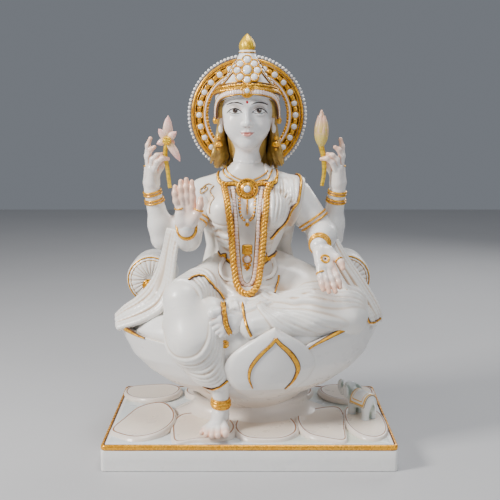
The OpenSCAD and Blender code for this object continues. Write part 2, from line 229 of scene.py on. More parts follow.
        # remembers a fold's spine, so the stone can be shaded along its creases
        q = curve(np.column_stack([p, r, w]), 3 * len(p))
        self.spines = getattr(self, "spines", [])
        self.spines.append(q)

    def crease(self, pts):
        # 0 on the back of a fold and off the folds, 1 in the crease between two
        out = np.zeros(len(pts), np.float32)
        if not getattr(self, "spines", None):
            return out
        S = np.vstack(self.spines)
        kd = KDTree(len(S))
        for i, row in enumerate(S):
            kd.insert(Vector(row[:3]), i)
        kd.balance()
        r, w = S[:, 3], S[:, 4]
        for i, p in enumerate(pts):
            _, j, d = kd.find(p)
            q = d / r[j]
            if 1.04 < q < 2.1:
                out[i] = min(1.0, (q - 1.04) / 0.30) * min(1.0, (2.1 - q) / 0.6) * min(1.0,
                        max(0.0, w[j]) * 1.2)
        return out

    def cloth(self, a, b, n, k=1.2, seed=1, wander=0.15, samples=26, fat=0.60):
        # a hanging cloth between two edges, made of n soft folds side by side
        rng = np.random.default_rng(seed)
        a, b = curve(a, samples), curve(b, samples)
        gap = np.linalg.norm(b - a, axis=1) / n
        T = unit(np.gradient((a + b) / 2, axis=0))
        out = unit(np.cross(T, unit(b - a)))
        t = np.linspace(0, 1, samples)
        with self.group(0.0):
            for i in range(n):
                u = (i + 0.5) / n + wander / n * np.sin(t * 4 + rng.uniform(0, 6))
                rr = np.clip(fat * gap, 1.8, 9) * rng.uniform(0.85, 1.15)
                p = a + (b - a) * np.asarray(u).reshape(-1, 1) + out * (rng.uniform(-0.35, 0.35) * rr)[:,
                        None]
                self.tube(p, rr, k)
                self.note(p, rr, np.ones(samples))
        return self

    def mesh(self, name, cavity_shade=5.0):
        g = openvdb.FloatGrid()
        g.background = 3 * self.h
        f = np.clip(self.f, -3 * self.h, 3 * self.h)
        g.copyFromArray(np.ascontiguousarray(f))
        g.transform = openvdb.createLinearTransform(voxelSize=self.h)
        pts, tris, quads = g.convertToPolygons(isovalue=0.0, adaptivity=0.0)
        pts = pts.astype(float) + self.lo
        ob = mesh_object(name, pts, quads)
        n = self.normal(pts, 1.2)
        # painted shade: each vertex's depth in a hollow, read from the field a few millimetres out along its
        # normal
        depth = 1 - np.clip(self.sample(pts + n * cavity_shade) / cavity_shade, 0, 1)
        set_attr(ob, "cavity_shade", depth)
        set_attr(ob, "crease", self.crease(pts))
        print("  %-22s %6d quads  %.1fs" % (name, len(quads), time.time() - T0))
        return ob


class Group:
    # what is put in a group is joined sharply, then blended into the clay as one
    def __init__(self, clay, k):
        self.clay, self.k = clay, k

    def __enter__(self):
        self.clay.layer = np.full(self.clay.n, FAR, np.float32)
        return self.clay

    def __exit__(self, *_):
        layer, self.clay.layer = self.clay.layer, None
        self.clay.f = smin(self.clay.f, layer, self.k).astype(np.float32)

# %% [markdown]
# Carved shells, gold lines and rods are swept or stacked from rings. A ring model keeps an even skin with
# few points, which a volume would not, so trims are made this way and bodies as clay.

# %% Curves, meshes and attributes
def curve(pts, n, closed=False):
    # an even walk along a smooth line through the points
    p = np.array(pts, float)
    if closed:
        q = np.vstack([p[-1], p, p[0], p[1]])
    else:
        q = np.vstack([2 * p[0] - p[1], p, 2 * p[-1] - p[-2]])
    out = []
    for i in range(1, len(q) - 2):
        t = np.linspace(0, 1, 24, endpoint=False)[:, None]
        a, b, c, d = q[i - 1], q[i], q[i + 1], q[i + 2]
        out.append(0.5 * ((2 * b) + (c - a) * t + (2 * a - 5 * b + 4 * c - d) * t ** 2
                          + (3 * b - a - 3 * c + d) * t ** 3))
    out.append(q[-2][None] if not closed else q[1][None])
    w = np.vstack(out)
    s = np.concatenate([[0], np.cumsum(np.linalg.norm(np.diff(w, axis=0), axis=1))])
    u = np.linspace(0, s[-1], n + 1)[:-1] if closed else np.linspace(0, s[-1], n)
    return np.stack([np.interp(u, s, w[:, i]) for i in range(w.shape[1])], -1)


def mesh_object(name, pts, faces, smooth=True):
    # pts in millimetres; faces is an array of quads or triangles, or a list of faces
    me = bpy.data.meshes.new(name)
    pts = np.asarray(pts, float) * MM
    if isinstance(faces, np.ndarray):
        k = faces.shape[1]
        me.vertices.add(len(pts))
        me.vertices.foreach_set("co", pts.astype(np.float32).ravel())
        me.loops.add(faces.size)
        me.loops.foreach_set("vertex_index", faces.astype(np.int32).ravel())
        me.polygons.add(len(faces))
        me.polygons.foreach_set("loop_start", np.arange(0, faces.size, k, dtype=np.int32))
        me.polygons.foreach_set("loop_total", np.full(len(faces), k, np.int32))
        me.update(calc_edges=True)
    else:
        me.from_pydata([tuple(p) for p in pts], [], faces)
        me.update()
    me.polygons.foreach_set("use_smooth", np.full(len(me.polygons), smooth))
    ob = bpy.data.objects.new(name, me)
    bpy.context.scene.collection.objects.link(ob)
    return ob


def set_attr(ob, name, values):
    at = ob.data.attributes.get(name) or ob.data.attributes.new(name, "FLOAT", "POINT")
    at.data.foreach_set("value", np.asarray(values, np.float32).ravel())


def coords(ob):
    c = np.zeros(len(ob.data.vertices) * 3)
    ob.data.vertices.foreach_get("co", c)
    return c.reshape(-1, 3) * 1000


def merge(name, obs):
    # several meshes become one object, keeping their attributes and materials
    with bpy.context.temp_override(active_object=obs[0], selected_editable_objects=obs, object=obs[0]):
        if len(obs) > 1:
            bpy.ops.object.join()
    obs[0].name = name
    obs[0].data.name = name
    return obs[0]


def outward(ob):
    bm = bmesh.new()
    bm.from_mesh(ob.data)
    bmesh.ops.recalc_face_normals(bm, faces=bm.faces)
    bm.to_mesh(ob.data)
    bm.free()
    ob.data.update()
    return ob


def loft(name, rings, closed_ends=True, attrs=None):
    # rings: array [n, m, 3] of closed rings; ends are closed with a fan to the ring's middle
    R = np.asarray(rings, float)
    n, m = R.shape[:2]
    pts = R.reshape(-1, 3)
    j = np.arange(m)
    quads = []
    for i in range(n - 1):
        quads.append(np.stack([i * m + j, i * m + (j + 1) % m, (i + 1) * m + (j + 1) % m, (i + 1) * m + j],
                              -1))
    faces = [tuple(int(v) for v in q) for q in np.vstack(quads)]
    if closed_ends:
        pts = np.vstack([pts, R[0].mean(0), R[-1].mean(0)])
        a, b = n * m, n * m + 1
        faces += [(a, int((k + 1) % m), int(k)) for k in j]
        faces += [(b, int((n - 1) * m + k), int((n - 1) * m + (k + 1) % m)) for k in j]
    ob = mesh_object(name, pts, faces)
    for key, val in (attrs or {}).items():
        v = np.broadcast_to(val, (n, m)).ravel()
        if closed_ends:
            v = np.concatenate([v, [np.mean(v[:m]), np.mean(v[-m:])]])
        set_attr(ob, key, v)
    return outward(ob)


def frames(P, ref=None, closed=False):
    # tangent, side and up at each point; up leans to the given reference directions
    if closed:
        T = unit(np.roll(P, -1, 0) - np.roll(P, 1, 0))
    else:
        T = unit(np.gradient(P, axis=0))
    if ref is None:
        ref = np.tile([0, 0, 1.0], (len(P), 1))
    U = unit(ref - (ref * T).sum(1, keepdims=True) * T)
    return T, np.cross(T, U), U


def smooth_rows(A, times=2, closed=False):
    for _ in range(times):
        if closed:
            A = (np.roll(A, 1, 0) + 2 * A + np.roll(A, -1, 0)) / 4
        else:
            B = A.copy()
            B[1:-1] = (A[:-2] + 2 * A[1:-1] + A[2:]) / 4
            A = B
    return A


def strip(name, P, N, width, height, sink=1.0, closed=False):
    # a raised line of gilding: P on the surface, N outward; "across" is 0 at its middle and 1 at its edges
    P, N = np.asarray(P, float), unit(smooth_rows(np.asarray(N, float), 3, closed))
    T, S, U = frames(P, N, closed)
    w = np.broadcast_to(width, len(P))[:, None] / 2
    hh = np.broadcast_to(height, len(P))[:, None]
    prof = [(-1, -sink, 1.0), (-1, 0.35, 1.0), (-0.72, 0.85, 0.72), (-0.3, 1.0, 0.3), (0.3, 1.0, 0.3),
            (0.72, 0.85, 0.72), (1, 0.35, 1.0), (1, -sink, 1.0)]
    rings, across = [], []
    for x, y, ac in prof:
        rings.append(P + S * w * x + U * (hh * y if y > 0 else y))
        across.append(ac)
    R = np.stack(rings, 1)
    att = {"across": np.tile(across, (len(P), 1))}
    if closed:
        R = np.vstack([R, R[:1]])
        att = {"across": np.tile(across, (len(P) + 1, 1))}
        ob = loft(name, R, closed_ends=False, attrs=att)
        bm = bmesh.new()
        bm.from_mesh(ob.data)
        bmesh.ops.remove_doubles(bm, verts=bm.verts, dist=1e-6)
        bm.to_mesh(ob.data)
        bm.free()
        return ob
    return loft(name, R, attrs=att)


def rod(name, P, r, sides=12, ref=None, closed=False, squash=1.0):
    # a round rod along a line, with one radius or one for each point
    P = np.asarray(P, float)
    T, S, U = frames(P, ref, closed)
    r = np.broadcast_to(r, len(P))[:, None, None]
    a = np.linspace(0, 2 * math.pi, sides, endpoint=False)
    ring = P[:, None] + r * (np.cos(a)[None, :, None] * S[:, None] + squash * np.sin(a)[None, :,
            None] * U[:, None])
    if closed:
        i, j = np.meshgrid(np.arange(len(P)), np.arange(sides), indexing="ij")
        i2, j2 = (i + 1) % len(P), (j + 1) % sides
        q = np.stack([i * sides + j, i * sides + j2, i2 * sides + j2, i2 * sides + j], -1).reshape(-1, 4)
        return outward(mesh_object(name, ring.reshape(-1, 3), q))
    return loft(name, ring)


class Skin:
    # rays onto finished pieces, to lay trims on them
    def __init__(self, obs):
        v, f, base = [], [], 0
        for o in obs:
            c = coords(o)
            v.append(c)
            me = o.data
            idx = np.zeros(len(me.loops), np.int32)
            me.loops.foreach_get("vertex_index", idx)
            st = np.zeros(len(me.polygons), np.int32)
            me.polygons.foreach_get("loop_start", st)
            tot = np.zeros(len(me.polygons), np.int32)
            me.polygons.foreach_get("loop_total", tot)
            f += [tuple(int(x) + base for x in idx[s:s + t]) for s, t in zip(st, tot)]
            base += len(c)
        self.tree = BVHTree.FromPolygons([tuple(p) for p in np.vstack(v)], f)

    def drop(self, pts, direction=(0, 1, 0), back=120.0, lift=0.0):
        # each point is carried back along the ray's way, then dropped onto the skin
        out, nrm, last = [], [], None
        D = np.broadcast_to(np.asarray(direction, float), np.shape(pts))
        for p, d in zip(np.atleast_2d(np.asarray(pts, float)), D):
            d = d / np.linalg.norm(d)
            hit = self.tree.ray_cast(Vector(p - d * back), Vector(d), back + 260)
            if hit[0] is None:
                near = self.tree.find_nearest(Vector(p))
                q, n = np.array(near[0]), np.array(near[1])
            else:
                q, n = np.array(hit[0]), np.array(hit[1])
            if n @ d > 0:
                n = -n
            out.append(q + n * lift)
            nrm.append(n)
        return np.array(out), np.array(nrm)

    def near(self, pts, lift=0.0):
        out, nrm = [], []
        for p in np.atleast_2d(pts):
            q, n, _, _ = self.tree.find_nearest(Vector(p))
            out.append(np.array(q) + np.array(n) * lift)
            nrm.append(np.array(n))
        return np.array(out), np.array(nrm)


def hug(skin, pts, n, lift=0.0, soft=3, closed=False):
    # a smooth line through points near a skin, settled onto it
    Q, N = skin.near(curve(pts, n, closed))
    Q = smooth_rows(Q, soft, closed)
    Q, N = skin.near(Q)
    N = unit(smooth_rows(N, soft + 2, closed))
    return Q + N * lift, N


def finish_piece(ob, material, slot, *nodes):
    ob.data.materials.clear()
    ob.data.materials.append(material)
    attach(ob, "root")
    if nodes:
        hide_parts(*nodes)
    return ob


# %% [markdown]
# The real figure is polished white marble with gilded lines edged in brown, rose-tinted fingers and
# petals, imitation pearls and white paste stones; a warm shade is painted into its hollows. Each material
# reads the object's own coordinates or attributes that the pieces carry, so the grain stays where it is
# when the figure turns.

# %% A small algebra for shader nodes
class Val:
    def __init__(self, sh, socket):
        self.sh, self.s = sh, socket

    def _op(self, op, other=None, third=None, swap=False):
        n = self.sh.nodes.new("ShaderNodeMath")
        n.operation = op
        args = [self, other] if not swap else [other, self]
        for i, a in enumerate(args + ([third] if third is not None else [])):
            if a is None:
                continue
            if isinstance(a, Val):
                self.sh.links.new(a.s, n.inputs[i])
            else:
                n.inputs[i].default_value = float(a)
        return Val(self.sh, n.outputs[0])

    def __add__(self, o):
        return self._op("ADD", o)

    __radd__ = __add__

    def __sub__(self, o):
        return self._op("SUBTRACT", o)

    def __rsub__(self, o):
        return self._op("SUBTRACT", o, swap=True)

    def __mul__(self, o):
        return self._op("MULTIPLY", o)

    __rmul__ = __mul__

    def __truediv__(self, o):
        return self._op("DIVIDE", o)

    def abs(self):
        return self._op("ABSOLUTE")

    def min(self, o):
        return self._op("MINIMUM", o)

    def max(self, o):
        return self._op("MAXIMUM", o)

    def pow(self, e):
        return self._op("POWER", e)

    def sqrt(self):
        return self._op("SQRT")

    def ramp(self, a, b, x=0.0, y=1.0):
        n = self.sh.nodes.new("ShaderNodeMapRange")
        n.interpolation_type = "SMOOTHSTEP"
        for i, v in enumerate([self, a, b, x, y]):
            if isinstance(v, Val):
                self.sh.links.new(v.s, n.inputs[i])
            else:
                n.inputs[i].default_value = float(v)
        return Val(self.sh, n.outputs[0])


class Shader:
    def __init__(self, name):
        self.m = bpy.data.materials.new(name)
        self.m.use_nodes = True
        t = self.m.node_tree
        self.nodes, self.links = t.nodes, t.links
        self.nodes.clear()
        self.out = self.nodes.new("ShaderNodeOutputMaterial")
        self.p = self.nodes.new("ShaderNodeBsdfPrincipled")
        self.links.new(self.p.outputs[0], self.out.inputs[0])
        self.tc = self.nodes.new("ShaderNodeTexCoord")
        sep = self.nodes.new("ShaderNodeSeparateXYZ")
        self.links.new(self.tc.outputs["Object"], sep.inputs[0])
        self.x, self.y, self.z = [Val(self, sep.outputs[i]) * 1000.0 for i in range(3)]

    def noise(self, scale, detail=4.0, rough=0.55, distort=0.0):
        n = self.nodes.new("ShaderNodeTexNoise")
        n.inputs["Scale"].default_value = scale
        n.inputs["Detail"].default_value = detail
        n.inputs["Roughness"].default_value = rough
        n.inputs["Distortion"].default_value = distort
        self.links.new(self.tc.outputs["Object"], n.inputs["Vector"])
        return Val(self, n.outputs[0])

    def attr(self, name):
        n = self.nodes.new("ShaderNodeAttribute")
        n.attribute_name = name
        return Val(self, n.outputs["Fac"])

    def mix(self, fac, a, b):
        n = self.nodes.new("ShaderNodeMix")
        n.data_type = "RGBA"
        for i, v in ((0, fac), (6, a), (7, b)):
            if isinstance(v, Val):
                self.links.new(v.s, n.inputs[i])
            elif i == 0:
                n.inputs[0].default_value = float(v)
            else:
                n.inputs[i].default_value = (*v, 1.0)
        return Val(self, n.outputs[2])

    def bump(self, height, strength, distance=0.0005):
        n = self.nodes.new("ShaderNodeBump")
        n.inputs["Strength"].default_value = strength
        n.inputs["Distance"].default_value = distance
        self.links.new(height.s, n.inputs["Height"])
        self.links.new(n.outputs[0], self.p.inputs["Normal"])

    def set(self, **kw):
        for k, v in kw.items():
            sock = self.p.inputs[k.replace("_", " ")]
            if isinstance(v, Val):
                self.links.new(v.s, sock)
            elif isinstance(v, (tuple, list)):
                sock.default_value = (*v, 1.0) if sock.type == "RGBA" else tuple(v)
            else:
                sock.default_value = float(v)
        return self.m


# %% [markdown]
# Polished marble scatters a little light; the warm darkening in its hollows and in the creases of its
# folds is painted shade. Every material is built by one function per finish, with the tone of each
# member as its arguments.

# %% Marble, with painted shade in its hollows and its faint veins
WARM_SHADE = (0.66, 0.47, 0.31)


def marble(name, base=(0.90, 0.885, 0.86), hollow=WARM_SHADE, amount=0.5, blush=None, extra=None, rough=0.3):
    s = Shader(name)
    cloud = s.noise(16, 5, 0.6)
    vein = (s.noise(9, 7, 0.62, 1.3) - 0.5).abs().ramp(0.0, 0.035, 1.0, 0.0) * s.noise(5, 2).ramp(0.5, 0.68)
    col = s.mix(cloud.ramp(0.3, 0.75), tuple(0.965 * c for c in base), base)
    col = s.mix(vein * 0.16, col, (0.60, 0.62, 0.66))
    # painted shade: the hollow tint is mixed in by how deep in a hollow each vertex lies
    shade_mask = s.attr("cavity_shade")
    col = s.mix(shade_mask.ramp(0.05, 0.62) * amount, col, hollow)
    # painted shade along the creases between folds
    col = s.mix(s.attr("crease") * (0.55 + 0.25 * s.noise(50, 2)), col, (0.58, 0.41, 0.26))
    if blush:
        col = s.mix(s.attr("rosy") * (0.65 + 0.35 * s.noise(60, 2)), col, blush)
    if extra:
        col = extra(s, col)
    s.bump(s.noise(420, 3) * 0.35 + s.noise(60, 2), 0.05, 0.001)
    return s.set(Base_Color=col, Roughness=s.noise(38, 3).ramp(0.2, 0.8, rough - 0.06, rough + 0.10),
                 Subsurface_Weight=0.06, Subsurface_Radius=(1.0, 0.62, 0.42), Subsurface_Scale=0.003,
                 Coat_Weight=0.22, Coat_Roughness=0.16, IOR=1.49, Specular_IOR_Level=0.5)


def gold_paint(name, base=(0.76, 0.31, 0.008), light=(1.0, 0.54, 0.03), dark=(0.11, 0.035, 0.006), edge=0.60,
               metal=0.55, rough=0.27):
    # gilding with a hand-drawn dark edge; "across" runs from 0 in the middle of a line to 1 at its edge;
    # hollows take the same dark as painted shade
    s = Shader(name)
    leaf = s.noise(190, 4, 0.6, 0.4)
    big = s.noise(34, 3)
    col = s.mix(leaf.ramp(0.3, 0.7), base, light)
    col = s.mix(big.ramp(0.4, 0.75) * 0.35, col, (0.62, 0.33, 0.05))
    e = (s.attr("across") + (s.noise(150, 2) - 0.5) * 0.25).ramp(edge, edge + 0.14)
    # painted shade: hollows take the dark edge colour and lose their metal
    shade_mask = s.attr("cavity_shade").ramp(0.25, 0.8)
    e = e.max(shade_mask * 0.85)
    col = s.mix(e, col, dark)
    s.bump(leaf + s.noise(700, 2) * 0.3, 0.22, 0.0006)
    return s.set(Base_Color=col, Metallic=(1.0 - e) * metal, Roughness=leaf.ramp(0.2, 0.8, rough - 0.07,
            rough + 0.14),
                 Coat_Weight=0.15, Coat_Roughness=0.2)


def glazed(name, base, other, rough=0.16, metal=0.0, sub=0.0, edge=None):
    s = Shader(name)
    n = s.noise(130, 3)
    col = s.mix(n.ramp(0.3, 0.7), base, other)
    if edge:
        col = s.mix(s.attr("across").ramp(0.66, 0.86), col, edge)
    s.bump(s.noise(500, 2), 0.06, 0.0004)
    return s.set(Base_Color=col, Roughness=n.ramp(0.2, 0.8, rough, rough + 0.1), Metallic=metal,
                 Coat_Weight=0.6,
                 Coat_Roughness=0.08, Subsurface_Weight=sub, Subsurface_Radius=(1.0, 0.7, 0.6),
                 Subsurface_Scale=0.002)


WHITE = marble("White_marble")
DRAPE = marble("Draped_marble", base=(0.90, 0.875, 0.83), amount=0.85)
SKIN = marble("Polished_skin_marble", base=(0.91, 0.89, 0.86), hollow=(0.78, 0.46, 0.30), amount=0.72,
              blush=(0.92, 0.50, 0.32), rough=0.26)
BASE_WHITE = marble("Plinth_marble", base=(0.88, 0.87, 0.85), amount=0.35)
COOL = marble("Tinted_marble", base=(0.82, 0.85, 0.84), hollow=(0.36, 0.44, 0.36), amount=0.75)
GOLD = gold_paint("Gold_leaf_with_brown_edge")
RICH = gold_paint("Gold_leaf_solid", edge=1.4)
SOFT_GOLD = gold_paint("Old_gold_line", base=(0.60, 0.33, 0.08), light=(0.82, 0.50, 0.14), edge=0.72,
                       metal=0.45)
YELLOW = gold_paint("Yellow_gilding", base=(0.80, 0.45, 0.01), light=(0.95, 0.66, 0.03),
                    dark=(0.35, 0.24, 0.02), edge=0.8,
                    metal=0.45, rough=0.36)
PEARL = glazed("Rose_pearl", (0.90, 0.66, 0.60), (0.93, 0.80, 0.74), sub=0.05, edge=(0.52, 0.22, 0.12))
WHITE_PEARL = glazed("White_pearl", (0.88, 0.86, 0.84), (0.93, 0.92, 0.90), sub=0.1)
STONE = glazed("White_paste_stone", (0.80, 0.80, 0.82), (0.93, 0.93, 0.93), rough=0.06,
               edge=(0.30, 0.20, 0.12))
print("materials:", len(bpy.data.materials))

# %% [markdown]
# The plinth is a sawn slab, 410 by 270 mm, polished on its sides. Its top edge carries a half-round
# moulding that is gilded and closed below with a dark brush line, so the moulding is a piece of its own
# with a slightly wavy section, as a hand leaves it.

# %% Plinth and its gilded moulding
def rounded_ring(w, d, r, n=260):
    # an even walk round a rectangle with round corners
    r = max(r, 0.5)
    pts = []
    for cx, cy, a0 in ((w - r, d - r, 0), (-w + r, d - r, 90), (-w + r, -d + r, 180), (w - r, -d + r, 270)):
        for a in np.radians(np.linspace(a0, a0 + 90, 8)):
            pts.append((cx + r * math.cos(a), cy + r * math.sin(a), 0))
    p = np.array(pts + pts[:1])
    s = np.concatenate([[0], np.cumsum(np.linalg.norm(np.diff(p, axis=0), axis=1))])
    keep = np.sort(np.concatenate([s[:-1], np.linspace(0, s[-1], n - 32, endpoint=False) + 0.01]))
    return np.stack([np.interp(keep, s, p[:, i]) for i in range(3)], -1)


def plinth_rings():
    w, d = (hi("plinth") - lo("plinth"))[:2] / 2
    top = hi("plinth")[2]
    band = lo("plinth_gold_band")[2]
    prof = [(0.0, 0.4), (0.0, 1.6), (0.6, 0.0), (1.2, 0.0), (band * 0.5, 0.0), (band - 1.2, 0.0),
            (band - 0.3, 0.5),
            (band + 1.5, 3.2), (top - 1.0, 3.4), (top - 0.2, 4.2), (top, 6.5), (top, 60), (top, 110)]
    prof = [(0.0, 2.2)] + [(z, i) for z, i in prof[1:]]
    rings = []
    for z, inset in prof:
        r = rounded_ring(w - inset, d - inset, max(5 - inset * 0.3, 2.0))
        r[:, 2] = z
        r[:, 2] += 0.0
        rings.append(r)
    return np.array(rings), w, d, top, band


RINGS, PW, PD, PT, PB = plinth_rings()
plinth = loft("plinth_block", RINGS)
set_attr(plinth, "cavity_shade", np.zeros(len(plinth.data.vertices)))
finish_piece(plinth, BASE_WHITE, "marble", "plinth")

path = rounded_ring(PW - 2.2, PD - 2.2, 5)
path[:, 2] = (PT + PB) / 2
wob = 0.5 * np.sin(np.arange(len(path)) * 0.21) + 0.4 * np.sin(np.arange(len(path)) * 0.083)
prof = [(-2.0, -3.6, 1.0), (1.0, -3.7, 1.0), (1.9, -3.0, 0.95), (2.25, -1.6, 0.6), (2.35, 0.4, 0.1),
        (2.1, 2.2, 0.2),
        (1.3, 3.5, 0.5), (0.2, 4.0, 0.7), (-2.2, 4.1, 0.98), (-3.4, 3.6, 1.0)]
step = np.roll(path, -1, 0) - np.roll(path, 1, 0)
out = unit(np.stack([step[:, 1], -step[:, 0], 0 * step[:, 0]], -1))
R = np.stack([path + out * a + np.array([[0, 0, 1.0]]) * (b + 0.22 * wob[:, None] * (b < 0)) for a, b,
              _ in prof], 1)
R = np.vstack([R, R[:1]])
band = loft("plinth_gilded_moulding", R, closed_ends=False,
            attrs={"across": np.tile([p[2] for p in prof], (len(R), 1)), "cavity_shade": 0.0})
bm = bmesh.new()
bm.from_mesh(band.data)
bmesh.ops.remove_doubles(bm, verts=bm.verts, dist=1e-6)
bm.to_mesh(band.data)
bm.free()
MOULD = gold_paint("Orange_gilding", base=(0.90, 0.37, 0.012), light=(0.98, 0.47, 0.025), edge=0.78,
                   rough=0.24)
finish_piece(band, MOULD, "gilding", "plinth_gold_band")
print("plinth", np.round(hi("plinth") - lo("plinth"), 1))

# %% [markdown]
# Lotus petals lie flat round the foot of the throne. Each is cut as a low mound with a dished top, and a
# thin brown line is drawn where the dish meets the slope. A petal is a fan of rings from its middle to
# its outline, and its second coordinate tells the material where that line goes. The stone between the
# petals is tinted.

# %% Petals on the plinth
def outline_marble(name, line_at, width, base=(0.90, 0.88, 0.85)):
    def draw(s, col):
        v = s.attr("ring")
        broken = (s.noise(22, 2) - 0.5) * 0.9 + 0.6
        line = (v - line_at).abs().ramp(width * 0.45, width, 1.0, 0.0) * broken.ramp(0.2, 0.45)
        col = s.mix(s.attr("warm") * 0.85, col, (0.87, 0.71, 0.55))
        return s.mix(line, col, (0.36, 0.15, 0.05))
    return marble(name, base=base, amount=0.4, extra=draw)


PETAL_PAINT = outline_marble("Outlined_petal_marble", 0.875, 0.030)


def base_petal(name, outline, height, lean=(0, 0)):
    z0 = hi("plinth")[2]
    P = curve(np.array([(x, y) for x, y in outline], float), 120, closed=True)
    c = P.mean(0)
    rows = [(0.0, 0.86), (0.2, 0.87), (0.4, 0.88), (0.55, 0.885), (0.68, 0.89), (0.78, 0.92), (0.86, 0.97),
            (0.90, 1.0),
            (0.935, 0.93), (0.962, 0.72), (0.985, 0.36), (1.0, -0.12), (0.97, -0.2)]
    rings = []
    for s, h in rows:
        q = c + (P - c) * s
        z = z0 + h * height + 0.012 * ((q - c) @ np.array(lean)) * min(1, s * 1.2)
        z = np.maximum(z, z0 - 1.2) if s > 0.96 else z
        rings.append(np.column_stack([q, np.broadcast_to(z, len(q))]))
    v = np.array([r[0] for r in rows])
    v[-1] = 1.0
    # painted shade on the outer slope where the petal meets the plinth
    ob = loft(name, np.array(rings)[1:], attrs={"ring": np.tile(v[1:, None], (1, 120)), "cavity_shade": np.tile(
        np.where(v[1:] > 0.93, 0.8, 0.0)[:, None], (1, 120)),
        "warm": np.tile((v[1:] < 0.8)[:, None] * 0.8, (1, 120))})
    return ob


BASE_PETALS = [
    ("mid", [(-24, -66), (-22, -96), (-6, -120), (24, -125), (52, -119), (70, -96), (71, -62), (56, -30),
             (22, -16),
             (-12, -30)], 8.0, (0, 0)),
    ("front_right", [(-104, -131), (-74, -124), (-46, -123), (-24, -112), (-16, -80), (-28, -46), (-62, -22),
                     (-100, -20), (-114, -50), (-112, -96)], 7.2, (0, 0)),
    ("side_right", [(-201, -82), (-188, -104), (-160, -121), (-132, -112), (-114, -86), (-106, -50),
                    (-112, -6),
                    (-134, 32), (-168, 16), (-188, -36)], 7.6, (-3, -1)),
    ("front_left", [(133, -129), (104, -123), (80, -108), (68, -70), (70, -26), (100, 2), (136, 14),
                    (144, -24),
                    (139, -74), (138, -106)], 7.2, (0, 0)),
    ("under_elephant", [(143, -84), (158, -114), (180, -119), (196, -96), (201, -56), (196, -6), (172, 24),
                        (146, 8),
                        (138, -40)], 6.6, (0, 0)),
    ("back_corner_right", [(-199, 122), (-203, 88), (-186, 56), (-152, 42), (-118, 58), (-108, 98),
                           (-130, 126),
                           (-168, 129)], 7.0, (0, 0)),
    ("back_corner_left", [(199, 120), (203, 86), (188, 50), (152, 36), (120, 54), (110, 96), (132, 125),
                          (170, 128)],
     7.0, (0, 0)),
    ("back_mid_right", [(-98, 124), (-106, 92), (-92, 60), (-58, 50), (-26, 62), (-16, 96), (-28, 124),
                        (-62, 131)], 7.6,
     (0, 0)),
    ("back_mid_left", [(98, 124), (104, 92), (92, 60), (58, 50), (26, 62), (14, 96), (28, 124), (62, 131)],
     7.6, (0, 0)),
]
for tag, pts, h, lean in BASE_PETALS:
    mid_ = np.mean(pts, axis=0)
    lean = -mid_ / np.linalg.norm(mid_) * 5.0
    finish_piece(base_petal("base_petal_" + tag, pts, h, lean=lean), PETAL_PAINT, "marble", "base_petals")

w, d = RINGS[0][:, 0].max() - 7, RINGS[0][:, 1].max() - 7
gr = rounded_ring(w, d, 5)
flat = []
for s, z in ((0.3, PT + 0.35), (0.62, PT + 0.4), (0.9, PT + 0.45), (0.992, PT + 0.35), (1.0, PT - 0.5)):
    q = gr * np.array([s, s, 1])
    q[:, 2] = z
    flat.append(q)
ground = loft("plinth_tinted_ground", np.array(flat), attrs={"cavity_shade": 0.0})
TINT = marble("Blue_green_tinted_ground", base=(0.74, 0.78, 0.78), hollow=(0.66, 0.70, 0.60), amount=0.3,
              extra=lambda s, c: s.mix(s.noise(9, 3).ramp(0.48, 0.66), c, (0.66, 0.69, 0.58)))
finish_piece(ground, TINT, "tinted_marble")
print("base petals:", len(BASE_PETALS))

# %% [markdown]
# The throne is an open lotus: a bowl on a short foot, wrapped in broad petals. A petal is a shell bounded
# by a left and a right edge, each given as bearings and heights on the bowl. It is thickest in its middle
# and thin at its rim, and it stands off the bowl more towards its tip. The same chart of a petal places
# its gilded line.

# %% The bowl and its petals
BZ = np.array([56, 72, 86, 100, 118, 138, 160, 176, 200.0])
BXS = np.array([0.36, 0.42, 0.50, 0.68, 0.82, 0.92, 0.97, 1, 1.02])
BYS = np.array([0.42, 0.60, 0.76, 0.86, 0.93, 0.97, 0.99, 1, 1.01])
BC = mid("throne_bowl")
BRX = (hi("throne_bowl") - lo("throne_bowl"))[0] / 2
BRY = (hi("throne_bowl") - lo("throne_bowl"))[1] / 2
SEAT = hi("throne_bowl")[2]


def on_bowl(z, bearing, out):
    z, a, out = np.broadcast_arrays(np.asarray(z, float), np.radians(np.asarray(bearing, float)),
                                    np.asarray(out, float))
    rx = BRX * np.interp(z, BZ, BXS) + out
    ry = BRY * np.interp(z, BZ, BYS) + out
    return np.stack([BC[0] + rx * np.cos(a), BC[1] + ry * np.sin(a), z], -1)


def bowl_rings():
    th = np.linspace(0, 360, 160, endpoint=False)
    zs = list(np.linspace(58, 176, 26))
    rings = [on_bowl(z, th, 0.0) for z in zs]
    for f, dz in ((0.985, 5), (0.955, 12), (0.91, 19), (0.86, 24), (0.7, 27), (0.4, 28)):
        r = on_bowl(176, th, 0.0)
        r[:, :2] = BC[:2] + (r[:, :2] - BC[:2]) * f
        r[:, 2] = 176 + dz * (SEAT - 176) / 28
        rings.append(r)
    return np.array(rings)


bowl = loft("throne_bowl_body", bowl_rings())
zz = coords(bowl)[:, 2]
# painted shade, darker towards the bowl's underside
set_attr(bowl, "cavity_shade", np.clip((104 - zz) / 60, 0, 0.7))
finish_piece(bowl, WHITE, "marble", "throne_bowl")

th = np.linspace(0, 2 * math.pi, 120, endpoint=False)
st_lo, st_hi = lo("throne_stem"), hi("throne_stem")
c = (st_lo + st_hi) / 2
half = (st_hi - st_lo) / 2
rings = []
for z, f in ((-0.6, 1.0), (1.5, 1.0), (5, 0.93), (9, 0.84), (14, 0.77), (20, 0.73), (26, 0.72), (34, 0.74)):
    rings.append(np.column_stack([c[0] + half[0] * f * np.cos(th), c[1] + half[1] * f * np.sin(th),
                                  np.full(len(th), st_lo[2] + z)]))
# painted shade over the whole foot, which stands under the bowl
stem = loft("throne_foot", np.array(rings), attrs={"cavity_shade": 0.45})
finish_piece(stem, WHITE, "marble", "throne_stem")


